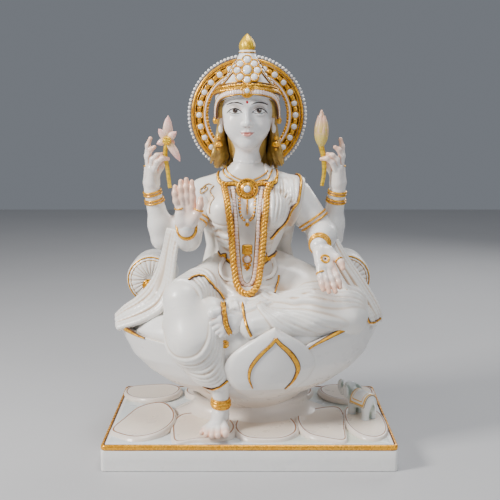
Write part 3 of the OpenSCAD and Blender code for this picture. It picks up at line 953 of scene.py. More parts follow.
class Petal:
    def __init__(self, left, right, out=4.0, bulge=5.0, curl=6.0, thick=7.0, arch=0.0, roll=0.0):
        self.l, self.r = curve(left, 60), curve(right, 60)
        self.o, self.b, self.c, self.t, self.arch, self.roll = out, bulge, curl, thick, arch, roll

    def chart(self, s, t):
        s, t = np.broadcast_arrays(np.asarray(s, float), np.asarray(t, float))
        u = np.linspace(0, 1, 60)
        la, lz = [np.interp(t, u, self.l[:, i]) for i in (0, 1)]
        ra, rz = [np.interp(t, u, self.r[:, i]) for i in (0, 1)]
        a = la + (ra - la) * s
        z = lz + (rz - lz) * s + self.arch * 4 * s * (1 - s) * t ** 3
        return a, z

    def at(self, s, t, face=1.0):
        # face 1 is the outer side, 0 the inner
        a, z = self.chart(s, t)
        x = 2 * np.asarray(s, float) - 1
        t = np.asarray(t, float)
        rim = np.minimum(1, np.minimum(1 - np.abs(x), 1 - t) * 6.5)
        lens = np.sqrt(np.clip(rim, 0.0, 1)) if face else np.zeros_like(x * t)
        out = self.o + self.b * (1 - x ** 2) * np.sin(np.clip(t, 0, 1) * math.pi * 0.85) + self.c * t ** 3
        out = out - self.roll * np.abs(x) ** 3
        half = self.t * (0.12 + 0.88 * (lens if face else np.sqrt(np.clip(rim, 0, 1))))
        return on_bowl(z, a, out + (half * 0.5 if face else -half * 0.5))

    def mesh(self, name, ns=44, nt=60):
        s = 0.5 - 0.5 * np.cos(np.linspace(0, math.pi, ns))
        t = np.sin(np.linspace(0, math.pi / 2, nt))
        S, T = np.meshgrid(s, t)
        F, B = self.at(S, T, 1), self.at(S, T, 0)
        # each level is one closed ring: across the outer face, then back along the inner face
        rings = np.concatenate([F, B[:, ::-1]], 1)
        edge = np.minimum(1 - np.abs(2 * S - 1), 1 - T)
        # painted shade at the petal's foot and over its whole inner face
        ob = loft(name, rings, attrs={"cavity_shade": np.concatenate([0.5 * (T < 0.16), 0.4 + 0 * T], 1),
                                      "warm": np.concatenate([0.3 * np.exp(-edge * 14), 0.5 + 0 * T], 1)})
        return ob

    def line(self, name, s, t, width, height=1.5, n=90, lift=0.0):
        st = curve(np.column_stack([s, t]), n)
        P = self.at(st[:, 0], st[:, 1], 1)
        e = 0.01
        N = np.cross(self.at(st[:, 0] + e, st[:, 1], 1) - self.at(st[:, 0] - e, st[:, 1], 1),
                     self.at(st[:, 0], np.clip(st[:, 1] + e, 0, 1), 1) - self.at(st[:, 0], st[:, 1] - e, 1))
        out = P - np.array([BC[0], BC[1], 140])
        N = unit(N) * np.sign((N * out).sum(1, keepdims=True))
        w = np.interp(np.linspace(0, 1, n), np.linspace(0, 1, len(width)),
                      width) if not np.isscalar(width) else width
        return strip(name, P + N * lift, N, w, height)


def pointed(center, half, z0, z1, fat=0.36, foot=0.5):
    # the edges of a pointed petal, in bearings and heights
    t = np.array([0.0, 0.12, 0.26, fat, 0.5, 0.64, 0.78, 0.89, 0.955, 1.0])
    w = np.array([foot, 0.80, 0.96, 1.0, 0.965, 0.81, 0.55, 0.28, 0.11, 0.0])
    z = z0 + (z1 - z0) * t
    return [(center - half * a, b) for a, b in zip(w, z)], [(center + half * a, b) for a, b in zip(w, z)]


PETAL_MARBLE = marble("Petal_marble", base=(0.905, 0.89, 0.865), amount=0.4,
                      extra=lambda s, c: s.mix(s.attr("warm") * 0.8, c, (0.88, 0.72, 0.56)))
PETALS = {}
L, R_ = pointed(280.5, 22.5, 90, 199)
PETALS["front_petal"] = Petal(L, R_, out=5, bulge=7, curl=2, thick=9)
PETALS["front_left_petal"] = Petal([(291, 90), (293, 112), (294, 140), (294.5, 163), (297, 172)],
                                   [(331, 92), (338, 118), (341, 148), (342, 176), (341, 201)],
                                   out=1.0, bulge=5, curl=3, thick=7, arch=7)
PETALS["left_petal"] = Petal([(-28, 90), (-33, 116), (-34, 146), (-28, 168), (-12, 186)],
                             [(26, 90), (30, 116), (27, 146), (16, 168), (2, 188)], out=0.5, bulge=3,
                             curl=6, thick=7)
PETALS["right_petal"] = Petal([(168, 90), (164, 116), (163, 146), (167, 168), (174, 184)],
                              [(236, 90), (243, 116), (244, 146), (236, 166), (222, 172)], out=0.5,
                              bulge=4, curl=9,
                              thick=7, arch=4)
for name in ("front_petal", "front_left_petal", "left_petal", "right_petal"):
    ob = PETALS[name].mesh("throne_" + name)
    finish_piece(ob, PETAL_MARBLE, "marble", name)
for i, (b, half, top) in enumerate(((44, 19, 196), (80, 21, 200), (118, 21, 200), (151, 17, 194))):
    L, R_ = pointed(b, half, 88, top)
    q = Petal(L, R_, out=2.5 + (i % 2), bulge=5, curl=7, thick=7)
    PETALS["back_%d" % i] = q
    finish_piece(q.mesh("throne_back_petal_%d" % i), PETAL_MARBLE, "marble", "back_petals")

q = PETALS["front_petal"]
lines = [
    q.line("line_a", [0.285, 0.265, 0.28, 0.345, 0.43, 0.5], [0.20, 0.34, 0.50, 0.68, 0.79, 0.865],
           [1.4, 3.8, 5.6, 6.2, 5.8, 5.4], 1.8),
    q.line("line_b", [0.745, 0.76, 0.745, 0.675, 0.575, 0.5], [0.17, 0.34, 0.50, 0.68, 0.79, 0.865],
           [1.8, 5.4, 8.4, 8.4, 6.8, 5.4], 2.0),
    PETALS["front_left_petal"].line("line_c", [0.02, 0.12, 0.3, 0.5, 0.7, 0.9, 0.98],
                                    [0.86, 0.93, 0.972, 0.975, 0.975, 0.975, 0.97],
                                    [1.8, 5.0, 7.2, 7.8, 8.0, 8.2, 7.2], 2.2),
    PETALS["right_petal"].line("line_d", [0.10, 0.22, 0.4, 0.58, 0.72, 0.84],
                               [0.93, 0.962, 0.97, 0.97, 0.965, 0.93],
                               [3.0, 7.6, 9.0, 7.8, 5.4, 2.0], 2.4),
]
for o in lines:
    set_attr(o, "cavity_shade", np.zeros(len(o.data.vertices)))
finish_piece(merge("petal_gilded_lines", lines), GOLD, "gilding", "petal_gold_rims")
print("throne petals:", len(PETALS))

# %% [markdown]
# The lower body is cut before anything else: hips, the left leg folded flat with its foot on the right
# knee's side, the right leg hanging over the throne. Skeleton points are set from the frame's boxes, and
# every later piece hangs on them. The sari is thin, so it shows the legs, and its folds run in nested
# curves round the knee.

# %% Skeleton
NECK = mid("torso", 0, 6, 75)
# the carvers' canon: 16 units from the pit of the neck to the crown's edge, 4 of neck and 12 of face
CANON = (lo("crown")[2] - NECK[2]) / 16
CHIN_Z = NECK[2] + 4 * CANON
HEAD = np.array([NECK[0], mid("head")[1] - 2, CHIN_Z + 8.5 * CANON])
FACE_HALF = 16 * CANON / 3
SH_R, SH_L = mid("front_right_arm", 6, 36, 28), mid("front_left_arm", -18, 26, 28)
EL_R, EL_L = mid("front_right_arm", -11, 3, -32), mid("front_left_arm", 21, 20, -26)
WR_R, WR_L = mid("front_right_arm", -10, -46, -9), mid("front_left_arm", 12, -34, -36)
BSH_R, BSH_L = mid("back_right_arm", 37, 4, 18), mid("back_left_arm", -32, 4, 15)
BEL_R, BEL_L = mid("back_right_arm", -31, 6, -34), mid("back_left_arm", 31, 6, -33)
BWR_R, BWR_L = mid("back_right_arm", -45, -10, 40), mid("back_left_arm", 39, -10, 39)
LAP = mid("lap")
HIP_R, HIP_L = LAP + [-64, 30, 27], LAP + [10, 30, 27]
KNEE_R, KNEE_L = LAP + [-118, -54, 9], LAP + [120, -20, -7]
ANKLE_L = LAP + [-40, -88, -26]
LEG = mid("right_leg")
HEM = LEG + [33, -10, -47]
FOOT = mid("right_foot")
print("head", np.round(HEAD), "knee", np.round(KNEE_R), np.round(KNEE_L))

# %% [markdown]
# The lap is one mass on the real block: hips, two thighs and the folded leg under thin cloth. It is built
# as blended limbs first, then the folds are laid over them, as a carver roughs out before cutting
# drapery.

# %% Lap: hips, thighs and the folded left leg under the sari
lap = Clay((-130, -132, 140), (190, 92, 292), 1.5)
lap.blob(LAP + [-30, 30, 18], (68, 48, 44), 6)
lap.limb(HIP_R, 38, KNEE_R + [4, 4, 0], 32, 16)
lap.limb(HIP_L, 40, KNEE_L + [-6, 0, 4], 30, 18)
lap.limb(KNEE_L + [-6, -12, -14], 27, ANKLE_L + [16, 4, 4], 17, 14)
lap.limb(LAP + [60, -54, -16], 26, LAP + [112, -44, -16], 25, 14)
lap.limb(LAP + [-10, -50, -22], 26, LAP + [60, -30, -8], 34, 16)
lap.limb(LAP + [-70, -34, -22], 28, LAP + [-20, -58, -20], 26, 14)
lap.blob(LAP + [-30, -14, 4], (44, 36, 34), 14)
lap.blob(LAP + [30, -2, -30], (118, 72, 28), 10)
# nested folds over the right knee
lap.folds([(-119, -40, 236), (-110, -70, 258), (-90, -80, 262), (-68, -90, 246), (-58, -100, 222),
           (-54, -104, 200)],
          [(-112, -20, 262), (-88, -40, 276), (-60, -50, 276), (-40, -66, 262), (-34, -88, 240),
           (-34, -98, 206)],
          6, 5.0, 2.4, 0.30, ends=(0.3, 0.15), seed=3)
# folds that hang between the thighs below the belt
lap.folds([(-44, -44, 262), (-24, -66, 244), (-4, -74, 238), (18, -68, 244), (44, -46, 262)],
          [(-30, -76, 236), (-18, -88, 222), (-4, -92, 216), (14, -88, 222), (34, -76, 236)],
          4, 4.0, 2.4, 0.4, ends=(0.3, 0.3), seed=4)
# the fan that sweeps from the girdle over the folded leg
lap.folds([(8, -88, 238), (20, -104, 216), (34, -112, 196), (52, -112, 180), (70, -108, 168)],
          [(12, -82, 244), (36, -96, 236), (64, -102, 226), (100, -98, 212), (140, -84, 200)],
          7, 5.6, 2.6, 0.34, ends=(0.12, 0.3), seed=5)
lap.folds([(14, -78, 248), (44, -88, 246), (80, -90, 236), (120, -82, 220), (158, -62, 206)],
          [(24, -60, 262), (60, -62, 266), (100, -56, 262), (140, -46, 248), (172, -40, 226)],
          5, 5.2, 2.8, 0.26, ends=(0.15, 0.45), seed=6)
lap_ob = lap.mesh("lap_and_folded_leg")
finish_piece(lap_ob, DRAPE, "marble", "lap")

# %% [markdown]
# The right leg hangs over the throne, and the cloth sags in nested curves from knee to hem. The leg is a
# tapered limb, and the folds run between two guide lines so that they stay parallel on the curved
# surface.

# %% The hanging right leg, its sari drawn into U-shaped folds
leg = Clay((-136, -132, 62), (-8, -24, 266), 1.2)
leg.limb(KNEE_R, 31, LEG + [-4, -7, 9], 35, 10)
leg.limb(LEG + [-4, -7, 9], 35, LEG + [20, -6, -32], 25, 12)
leg.limb(LEG + [20, -6, -32], 25, HEM, 16, 10)
leg.blob(LEG + [24, -4, 20], (26, 26, 50), 16)
leg.limb(LEG + [-24, 8, 30], 22, LEG + [-2, 4, -18], 22, 12)
leg.folds([(-121, -62, 206), (-110, -88, 178), (-90, -110, 162), (-70, -118, 166), (-56, -116, 188),
           (-54, -112, 214)],
          [(-104, -60, 160), (-88, -84, 134), (-66, -100, 114), (-44, -108, 112), (-30, -106, 130),
           (-28, -102, 170)],
          9, 4.4, 2.2, 0.40, ends=(0.22, 0.3), seed=7)
leg.folds([(-124, -56, 224), (-121, -70, 196), (-112, -84, 168)],
          [(-116, -46, 190), (-104, -66, 156), (-92, -76, 136)],
          3, 3.6, 2.4, 0.35, ends=(0.5, 0.5), seed=8)
leg.limb(HEM + [0, 2, 2], 14.5, FOOT + [4, 4, 26], 11.5, 3)
leg_ob = leg.mesh("hanging_leg")
finish_piece(leg_ob, DRAPE, "marble", "right_leg")

# %% [markdown]
# Feet are small and plump, as on every figure of this kind: a wedge for the instep and five round toes.
# The stone is left pale and the toes take a wash of rose.

# %% Feet
def toes(clay, roots, tips, radii, k=1.6):
    for a, b, r in zip(roots, tips, radii):
        a, b = np.array(a, float), np.array(b, float)
        m = a + (b - a) * 0.6 + np.array([0, 0, 1.2])
        with clay.group(k):
            clay.limb(a, r * 0.95, m, r * 0.9)
            clay.limb(m, r * 0.88, b, r)


def rosy_tips(ob, tips, reach=12.0, base=0.0):
    c = coords(ob)
    d = np.min([np.linalg.norm(c - np.asarray(t), axis=1) for t in tips], axis=0)
    set_attr(ob, "rosy", np.clip(base + (1 - base) * np.clip(1.15 - d / reach, 0, 1), 0, 1))


fr = Clay(FOOT + [-36, -46, -30], FOOT + [38, 34, 30], 0.75)
fr.limb(FOOT + [4, 4, 30], 11, FOOT + [4, 6, 2], 12, 5)
fr.blob(FOOT + [5, 16, -10], (11, 13, 11), 6)
fr.limb(FOOT + [3, 2, -2], 11, FOOT + [-2, -14, -10], 10.5, 7)
fr.blob(FOOT + [-3, -17, -14], (20, 14, 7.5), 6, turn=(14, 0, 8))
RT = [(-21.5, -25, -16.5), (-14.5, -33, -16.5), (-6.8, -37.5, -16), (1.5, -38, -15.5), (11.5, -34, -14.5)]
RR = [(-13, -8, -13), (-9.5, -11, -11), (-4.5, -13, -10), (1.5, -13, -9.5), (8.5, -11, -9.5)]
toes(fr, [FOOT + r for r in RR], [FOOT + t for t in RT], [3.9, 4.1, 4.3, 4.6, 5.9])
foot_r = fr.mesh("right_foot_on_base", cavity_shade=3.0)
rosy_tips(foot_r, [FOOT + t for t in RT], 11)
finish_piece(foot_r, SKIN, "marble", "right_foot")

FL = mid("left_foot")
fl = Clay(FL + [-38, -36, -34], FL + [60, 46, 34], 0.75)
fl.limb(FL + [44, 18, 0], 13, FL + [12, 6, 2], 14.5, 8)
fl.limb(FL + [12, 6, 2], 14.5, FL + [-3, -1, 8], 10.5, 7)
fl.limb(FL + [10, 0, -4], 10, FL + [0, -5, -7], 8.5, 7)
LR = [(2, 0.5, 16.5), (1, -3, 7.0), (2, -5, 0.5), (4, -6, -5.0), (6, -6, -9.5)]
LT = [(-13.5, -3.5, 16.5), (-16.0, -7.0, 2.5), (-12.5, -9.5, -4.2), (-7.5, -10.5, -9.2),
      (-2.5, -10.5, -13.2)]
toes(fl, [FL + r for r in LR], [FL + t for t in LT], [8.2, 5.2, 4.5, 4.1, 3.9], 1.3)
LT = [FL + np.array(t, float) for t in LT]
foot_l = fl.mesh("left_foot_folded", cavity_shade=3.0)
rosy_tips(foot_l, [FL + t for t in LT], 12)
finish_piece(foot_l, SKIN, "marble", "left_foot")

# %% [markdown]
# The upper body is a lofted trunk with the bust and shoulders blended in. A tight bodice shows the ribs
# as a few arched folds. The free end of the sari, the pallu, falls from the left shoulder in long
# parallel pleats and is carved on as a second layer with a gilded hem, so it is a piece of its own that
# laps over the trunk.

# %% Trunk
TR = mid("torso")
t0 = TR[2]


def trunk(clay, grow=0.0, k=0.0):
    # a lofted trunk: level, half width, half depth and depth centre, blended as one field
    lv = np.array([246, 262, 276, 290, 306, 322, 338, 352, 364, 376, 386, 394, 402, 412]) - 333.3 + t0
    hw = np.array([46, 43, 41, 42.5, 47, 53, 58, 61, 64, 65, 60, 46, 30, 20]) + grow
    hd = np.array([34, 32, 30, 30, 31, 33, 34, 34, 33, 30, 26, 22, 20, 19]) + grow
    cy = np.array([12, 11, 10, 9, 8, 6, 5, 5, 6, 8, 9, 9, 8, 8.0])
    sl, X = clay.window(clay.lo, clay.lo + clay.h * (clay.n - 1))
    z = X[2].ravel()
    a, b, c = [np.interp(z, lv, v).reshape(1, 1, -1) for v in (hw, hd, cy)]
    a, b, c = [smooth_rows(v.reshape(-1, 1), 6).reshape(1, 1, -1) for v in (a, b, c)]
    px, py = X[0] - AX, X[1] - c
    k0 = np.sqrt((px / a) ** 2 + (py / b) ** 2)
    k1 = np.sqrt((px / a ** 2) ** 2 + (py / b ** 2) ** 2) + 1e-6
    d = k0 * (k0 - 1) / k1
    d = np.maximum(d * 0.96, np.maximum(lv[0] - X[2], X[2] - lv[-1]))
    clay.put(sl, d.astype(np.float32), k)


def bust(clay, grow=0.0, k=10):
    clay.blob((AX - 31, TR[1] - 25, t0 + 15), np.array([25, 21, 23]) + grow, k)
    clay.blob((AX + 31, TR[1] - 25, t0 + 15), np.array([25, 21, 23]) + grow, k)


tr = Clay((-92, -66, 240), (86, 52, 424), 1.2)
trunk(tr)
bust(tr)
for sx, sh in ((-1, SH_R), (1, SH_L)):
    tr.blob(sh + [-sx * 6, 0, 2], (20, 20, 18), 12)
tr.limb(NECK + [0, 0, -22], 24, NECK + [0, 0, 6], 19.5, 8)
tr.limb((AX - 20, 6, t0 + 62), 14, SH_R + [2, 2, 8], 15, 14)
tr.limb((AX + 20, 6, t0 + 62), 14, SH_L + [-2, 2, 8], 15, 14)
# arched folds of the bodice below the bust
tr.folds([(-66, -6, 330), (-56, -30, 322), (-40, -38, 320), (-26, -40, 326)],
         [(-48, -4, 284), (-42, -20, 278), (-34, -26, 276), (-24, -28, 280)], 7, 3.1, 2.2, 0.22,
         ends=(0.2, 0.3), seed=11)
tr.folds([(-66, -10, 364), (-62, -26, 352), (-60, -30, 336)],
         [(-70, 0, 352), (-67, -10, 340), (-62, -20, 328)], 3, 2.6, 2.2,
         0.35, ends=(0.4, 0.4), seed=12)
trunk_ob = tr.mesh("trunk_and_bodice")
set_attr(trunk_ob, "rosy", np.zeros(len(trunk_ob.data.vertices)))
finish_piece(trunk_ob, DRAPE, "marble", "torso")

# %% [markdown]
# The pallu is a second skin over the trunk, a few millimetres thick. It is the trunk's own field grown
# outward and cut along its hem lines, so it follows the body everywhere, and its pleats are laid on
# afterwards.

# %% The pallu over the left shoulder
pa = Clay((-4, -76, 254), (106, 44, 420), 1.15)
over = Clay(pa.lo, pa.lo + pa.h * (pa.n - 1), pa.h / (1.0))
trunk(over, 4.2)
bust(over, 4.0)
over.blob(SH_L + [-4, 0, 1], (25, 24, 23), 12)
over.limb((AX + 20, 6, t0 + 62), 17, SH_L + [0, 2, 8], 19, 14)
over.limb(SH_L + [4, -6, 0], 24, SH_L + [12, -10, -34], 22, 14)
pa.f = over.f.copy()
# keep only the part left of a line from the neck to the waist
sl, X = pa.window(pa.lo, pa.lo + pa.h * (pa.n - 1))
edge_x = np.interp(X[2], [254, 276, 300, 330, 356, 380, 398, 412], [30, 26, 24, 24, 26, 27, 26, 20])
cut = edge_x - X[0] + 0 * X[1]
low = np.interp(X[0], [20, 34, 50, 66, 86], [274, 276, 286, 304, 318]) - X[2] + 0 * X[1]
outer = X[0] - np.interp(X[2], [262, 286, 300, 310, 330, 351, 366, 380, 400],
                         [30, 38, 46, 56, 67, 75, 78, 80, 84]) + 0 * X[1]
for c in (cut, low, outer):
    pa.f = smax(pa.f, np.broadcast_to(c, pa.f.shape).astype(np.float32), 5.0)
pa.folds([(28, -10, 400), (30, -36, 376), (30, -56, 348), (28, -52, 320), (27, -36, 296), (27, -30, 280)],
         [(72, 0, 392), (74, -22, 370), (70, -36, 346), (62, -40, 322), (50, -36, 304), (40, -30, 284)],
         11, 3.4, 2.2, 0.30, ends=(0.15, 0.1), seed=15, wander=0.25)
pallu_ob = pa.mesh("pallu_over_left_shoulder")
finish_piece(pallu_ob, DRAPE, "marble", "pallu")

# %% [markdown]
# The shawl's back is a broad fall of deep pleats between the shoulders. Long soft tubes side by side give
# those pleats, blended into one closed volume against the trunk.

# %% The shawl down the back
bs = Clay((-96, 8, 182), (94, 74, 420), 1.7)
with bs.group(0):
    for i, x in enumerate(np.linspace(-66, 62, 12)):
        y = 40 - 0.0022 * (x - AX) ** 2
        bs.tube([(x * 0.30 + AX, 38, 398), (x * 0.8 + AX, y + 2, 376), (x, y + 3, 340),
                 (x * 0.86, y + 2, 290),
                 (x * 1.04, y + 4, 240), (x * 1.08, y + 3, 196)],
                np.array([8, 9, 8.5, 8.5, 9, 8]) * (0.9 + 0.2 * ((i * 7) % 3) / 2))
bs.limb((-60, 26, 372), 12, (54, 26, 372), 12, 10)
bs.limb((-50, 24, 330), 20, (44, 24, 330), 20, 10)
bs.limb((-58, 30, 230), 16, (54, 30, 230), 16, 10)
back_ob = bs.mesh("shawl_down_the_back")
finish_piece(back_ob, DRAPE, "marble", "back_shawl")

# %% [markdown]
# Four arms leave the shoulders, two in front and two behind. The upper arms wear short sleeves that end
# in gilded bands. An arm is a tapered limb with a full elbow. The hands are cut separately at the wrist,
# under the bangles, as a carver leaves them for last: a padded palm, fingers of three joints laid a
# little apart, and a wash of rose on the tips.

# %% Arms
def arm(name, node, sh, el, wr, r0, r1, r2, sleeve=None, bulge=1.0):
    pts = np.array([sh, el, wr])
    c = Clay(pts.min(0) - 34, pts.max(0) + 34, 1.15)
    c.limb(sh, r0, el, r1, 4)
    c.limb(el, r1, wr, r2, 7)
    m = el + (wr - el) * 0.28
    c.blob(m, r1 * 1.02 * bulge, 9)
    if sleeve:
        e = sh + (el - sh) * sleeve
        c.limb(sh, r0 + 2.2, e, r0 - (r0 - r1) * sleeve + 1.8, 2)
    ob = c.mesh(name)
    set_attr(ob, "rosy", np.zeros(len(ob.data.vertices)))
    return finish_piece(ob, SKIN, "marble", node), c


arm_fr, CL_FR = arm("arm_front_right", "front_right_arm", SH_R, EL_R, WR_R, 20, 17, 12.2, 0.5)
arm_fl, CL_FL = arm("arm_front_left", "front_left_arm", SH_L, EL_L, WR_L, 22, 19.5, 12.8, 0.62, 1.04)
arm_br, CL_BR = arm("arm_back_right", "back_right_arm", BSH_R, BEL_R, BWR_R, 18, 17.5, 12.0, None)
arm_bl, CL_BL = arm("arm_back_left", "back_left_arm", BSH_L, BEL_L, BWR_L, 18, 17.5, 12.0, None)

# %% [markdown]
# A hand is a padded palm with four fingers and a thumb, each of three joints. Joint points give the
# gesture, and the limbs between them are blended, so a hand stays a hand in any of the four poses.

# %% Hands
def hand(name, node, wrist, fingers, thumb, palm, base=0.12, width=4.2, reach=17):
    # fingers: four lists of joint points; thumb: joint points; palm: blobs and limbs given as (a, ra, b, rb)
    allp = np.vstack([np.array(f, float) for f in fingers] + [np.array(thumb, float),
            np.array([wrist], float)])
    c = Clay(allp.min(0) - 17, allp.max(0) + 17, 0.68)
    for a, ra, b, rb in palm:
        c.limb(a, ra, b, rb, 5)
    tips = []
    for f in fingers + [thumb]:
        f = [np.array(p, float) for p in f]
        big = f is not None and len(f) == len(thumb) and np.allclose(f[-1], thumb[-1])
        w = width * (1.14 if big else 1.0)
        rad = [w * 1.06, w * 1.0, w * 0.9, w * 0.72][-len(f):] if len(f) < 4 else [w * 1.06, w, w * 0.9,
                w * 0.72]
        with c.group(1.5):
            for i in range(len(f) - 1):
                c.limb(f[i], rad[i], f[i + 1], rad[i + 1])
        tips.append(f[-1])
    ob = c.mesh(name, cavity_shade=2.6)
    rosy_tips(ob, tips, reach, base)
    return finish_piece(ob, SKIN, "marble", node), c


def v(*a):
    return np.array(a, float)


# her right front hand is raised, palm forward, fingers together
W = WR_R
FR = [[W + v(-9, -3, 24), W + v(-13, -7, 38), W + v(-14.5, -8, 48), W + v(-14.5, -7, 57)],
      [W + v(-3, -4, 27), W + v(-5.5, -8, 43), W + v(-6.5, -9, 55), W + v(-6.5, -8, 64.5)],
      [W + v(3.5, -4, 28), W + v(2.0, -8, 44), W + v(1.2, -9, 57), W + v(1.0, -8, 67)],
      [W + v(9.5, -4, 27), W + v(9.4, -8, 42), W + v(9.0, -9, 54), W + v(8.6, -8, 64)]]
TH = [W + v(9, -6, 10), W + v(17, -9, 22), W + v(20, -10, 33), W + v(20.5, -9, 41)]
PA = [(W + v(0, 0, -4), 11.8, W + v(0, -1, 8), 11), (W + v(-6, -2, 10), 8.5, W + v(-7, -4, 27), 7),
      (W + v(6, -2, 10), 8.5, W + v(6, -4, 28), 7), (W + v(9, -6, 9), 7.5, W + v(14, -8, 18), 6),
      (W + v(-8, -5, 8), 7, W + v(-9, -5, 18), 6)]
hand_fr, HC_FR = hand("hand_front_right", "front_right_hand", W, FR, TH, PA, base=0.22, width=4.5, reach=34)

# her left front hand points down, palm forward
W = WR_L
FR = [[W + v(-1.5, -26, -28), W + v(0, -34, -40), W + v(1.5, -39, -48), W + v(3, -43, -55)],
      [W + v(4, -26, -29), W + v(7, -35, -42), W + v(9, -40, -51), W + v(11, -44, -58)],
      [W + v(11, -25, -29), W + v(15, -34, -42), W + v(18, -39, -51), W + v(20, -43, -58)],
      [W + v(17, -22, -27), W + v(22, -31, -38), W + v(25, -35, -46), W + v(26.5, -38, -53)]]
TH = [W + v(14, -12, -8), W + v(23, -19, -14), W + v(29, -25, -20), W + v(31, -30, -27)]
PA = [(W + v(0, 2, 2), 12.2, W + v(2, -6, -6), 11), (W + v(1, -8, -9), 9, W + v(2, -24, -27), 7.5),
      (W + v(9, -8, -9), 9, W + v(13, -22, -27), 7.5), (W + v(13, -10, -6), 7, W + v(19, -16, -13), 6),
      (W + v(-1, -12, -10), 7, W + v(-1, -20, -20), 6)]
hand_fl, HC_FL = hand("hand_front_left", "front_left_hand", W, FR, TH, PA, base=0.10, width=4.4, reach=20)

# the back hands pinch a stem between thumb and first finger
W = BWR_R
FR = [[W + v(-5, 3, 32), W + v(-7, 3, 50), W + v(-5, 0, 66), W + v(-1, -2, 76)],
      [W + v(-4, -4, 34), W + v(-4, -9, 50), W + v(0, -13, 60), W + v(6, -15, 64)],
      [W + v(0, -11, 33), W + v(3, -17, 46), W + v(10, -20, 52), W + v(17, -18, 54)],
      [W + v(5, -15, 31), W + v(10, -20, 42), W + v(18, -22, 48), W + v(26, -19, 47)]]
TH = [W + v(6, -2, 20), W + v(14, -4, 34), W + v(18, -7, 42), W + v(20, -9, 48)]
PA = [(W + v(0, 0, -4), 11.6, W + v(-1, -1, 10), 11), (W + v(-4, 2, 12), 9, W + v(-4, 2, 32), 7.5),
      (W + v(0, -7, 12), 9, W + v(1, -11, 32), 7.5), (W + v(4, -3, 10), 8, W + v(6, -4, 22), 6.5)]
hand_br, HC_BR = hand("hand_back_right", "back_right_hand", W, FR, TH, PA, width=3.9)
W = BWR_L
MIR = v(-1, 1, 1)


def flip(points, w):
    return [w + (np.asarray(p) - BWR_R) * MIR for p in points]


FR2 = [flip(f, W) for f in FR]
FR2[0][2], FR2[0][3] = W + v(6, 0, 64), W + v(3, -2, 75)
TH2 = flip(TH, W)
PA2 = [(flip([a], W)[0], ra, flip([b], W)[0], rb) for a, ra, b, rb in PA]
hand_bl, HC_BL = hand("hand_back_left", "back_left_hand", W, FR2, TH2, PA2, width=3.9)

# %% [markdown]
# Bangles are thin rods of gilded stone. Each lies in a plane square to its limb, close on the skin, and
# its side towards the skin is darkened with painted shade, which shows as a dark line between neighbours.

# %% Bangles, armlets, anklets and finger rings
def ring_round(name, clay_list, c, axis, radius, tube, squash=1.0, n=72, lift=0.3):
    axis = unit(axis)
    ref = v(0, 0, 1) if abs(axis[2]) < 0.9 else v(0, 1, 0)
    s = unit(np.cross(axis, ref))
    u = np.cross(s, axis)
    a = np.linspace(0, 2 * math.pi, n, endpoint=False)
    dirs = np.cos(a)[:, None] * s + np.sin(a)[:, None] * u
    r = np.full(n, radius)
    for k in np.linspace(0.4, 2.0, 60)[::-1]:
        d = np.min([cl.sample(c + dirs * (radius * k)) for cl in clay_list], axis=0)
        r = np.where(d > 0, radius * k, r)
    r = smooth_rows(r[:, None], 10, True)[:, 0]
    P = c + dirs * (r + lift)[:, None]
    ob = rod(name, P, tube, 10, dirs, True, squash)
    set_attr(ob, "across", np.zeros(len(ob.data.vertices)))
    c0 = coords(ob)
    near = np.min([cl.sample(c0) for cl in clay_list], axis=0)
    # painted shade where the ring meets the skin
    set_attr(ob, "cavity_shade", np.clip(0.75 - near / tube, 0, 1))
    return ob


rings = []
for w0, e0, cl, spec in (
        (WR_R, EL_R, [CL_FR, HC_FR], ((0.0, 2.3), (0.10, 2.3))),
        (WR_L, EL_L, [CL_FL, HC_FL], ((-0.02, 1.9), (0.08, 1.9), (0.18, 1.9))),
        (BWR_R, BEL_R, [CL_BR, HC_BR], ((0.02, 1.7), (0.075, 1.7), (0.18, 1.7), (0.235, 1.7))),
        (BWR_L, BEL_L, [CL_BL, HC_BL], ((0.02, 1.7), (0.075, 1.7), (0.18, 1.7), (0.235, 1.7)))):
    for t, tube in spec:
        rings.append(ring_round("ring", cl, w0 + (e0 - w0) * t, e0 - w0, 14, tube))
finish_piece(merge("bangles_on_four_wrists", rings), GOLD, "gilding", "wrist_bangles")
rings = []
for s0, e0, cl, ts in ((SH_R, EL_R, [CL_FR], (0.50, 0.60)), (SH_L, EL_L, [CL_FL], (0.60, 0.69))):
    for t in ts:
        rings.append(ring_round("ring", cl, s0 + (e0 - s0) * t, e0 - s0, 21, 1.5, lift=0.2))
finish_piece(merge("armlets_below_sleeves", rings), GOLD, "gilding", "armlets")
AK = mid("right_anklet")
rings = [ring_round("ring", [leg, fr], AK + [1, 0, dz], v(0.05, -0.1, 1), 15, t) for dz, t in
         ((5.0, 1.6), (1.6, 2.9), (-2.6, 3.0), (-5.6, 1.7))]
finish_piece(merge("right_anklet_rings", rings), GOLD, "gilding", "right_anklet")
gold_rings = [ring_round("ring", [HC_FR], WR_R + v(-9.8, -4.5, 28), v(-0.25, -0.25, 1), 5.2, 1.2, n=30),
              ring_round("ring", [HC_FR], WR_R + v(18, -9.4, 25.5), v(0.3, -0.1, 1), 5.6, 1.2, n=30),
              ring_round("ring", [HC_FL], WR_L + v(-0.8, -30, -34), v(0.3, -0.6, -0.8), 5.4, 1.2, n=30),
              ring_round("ring", [HC_FL], WR_L + v(26, -22, -17), v(0.5, -0.6, -0.6), 5.4, 1.2, n=30),
              ring_round("ring", [HC_BR], BWR_R + v(-5.5, 3, 36), v(-0.1, 0, 1), 5.2, 1.2, n=30),
              ring_round("ring", [HC_BL], BWR_L + v(5.5, 3, 36), v(0.1, 0, 1), 5.2, 1.2, n=30)]
finish_piece(merge("finger_rings", gold_rings), GOLD, "gilding")
print("rings done")

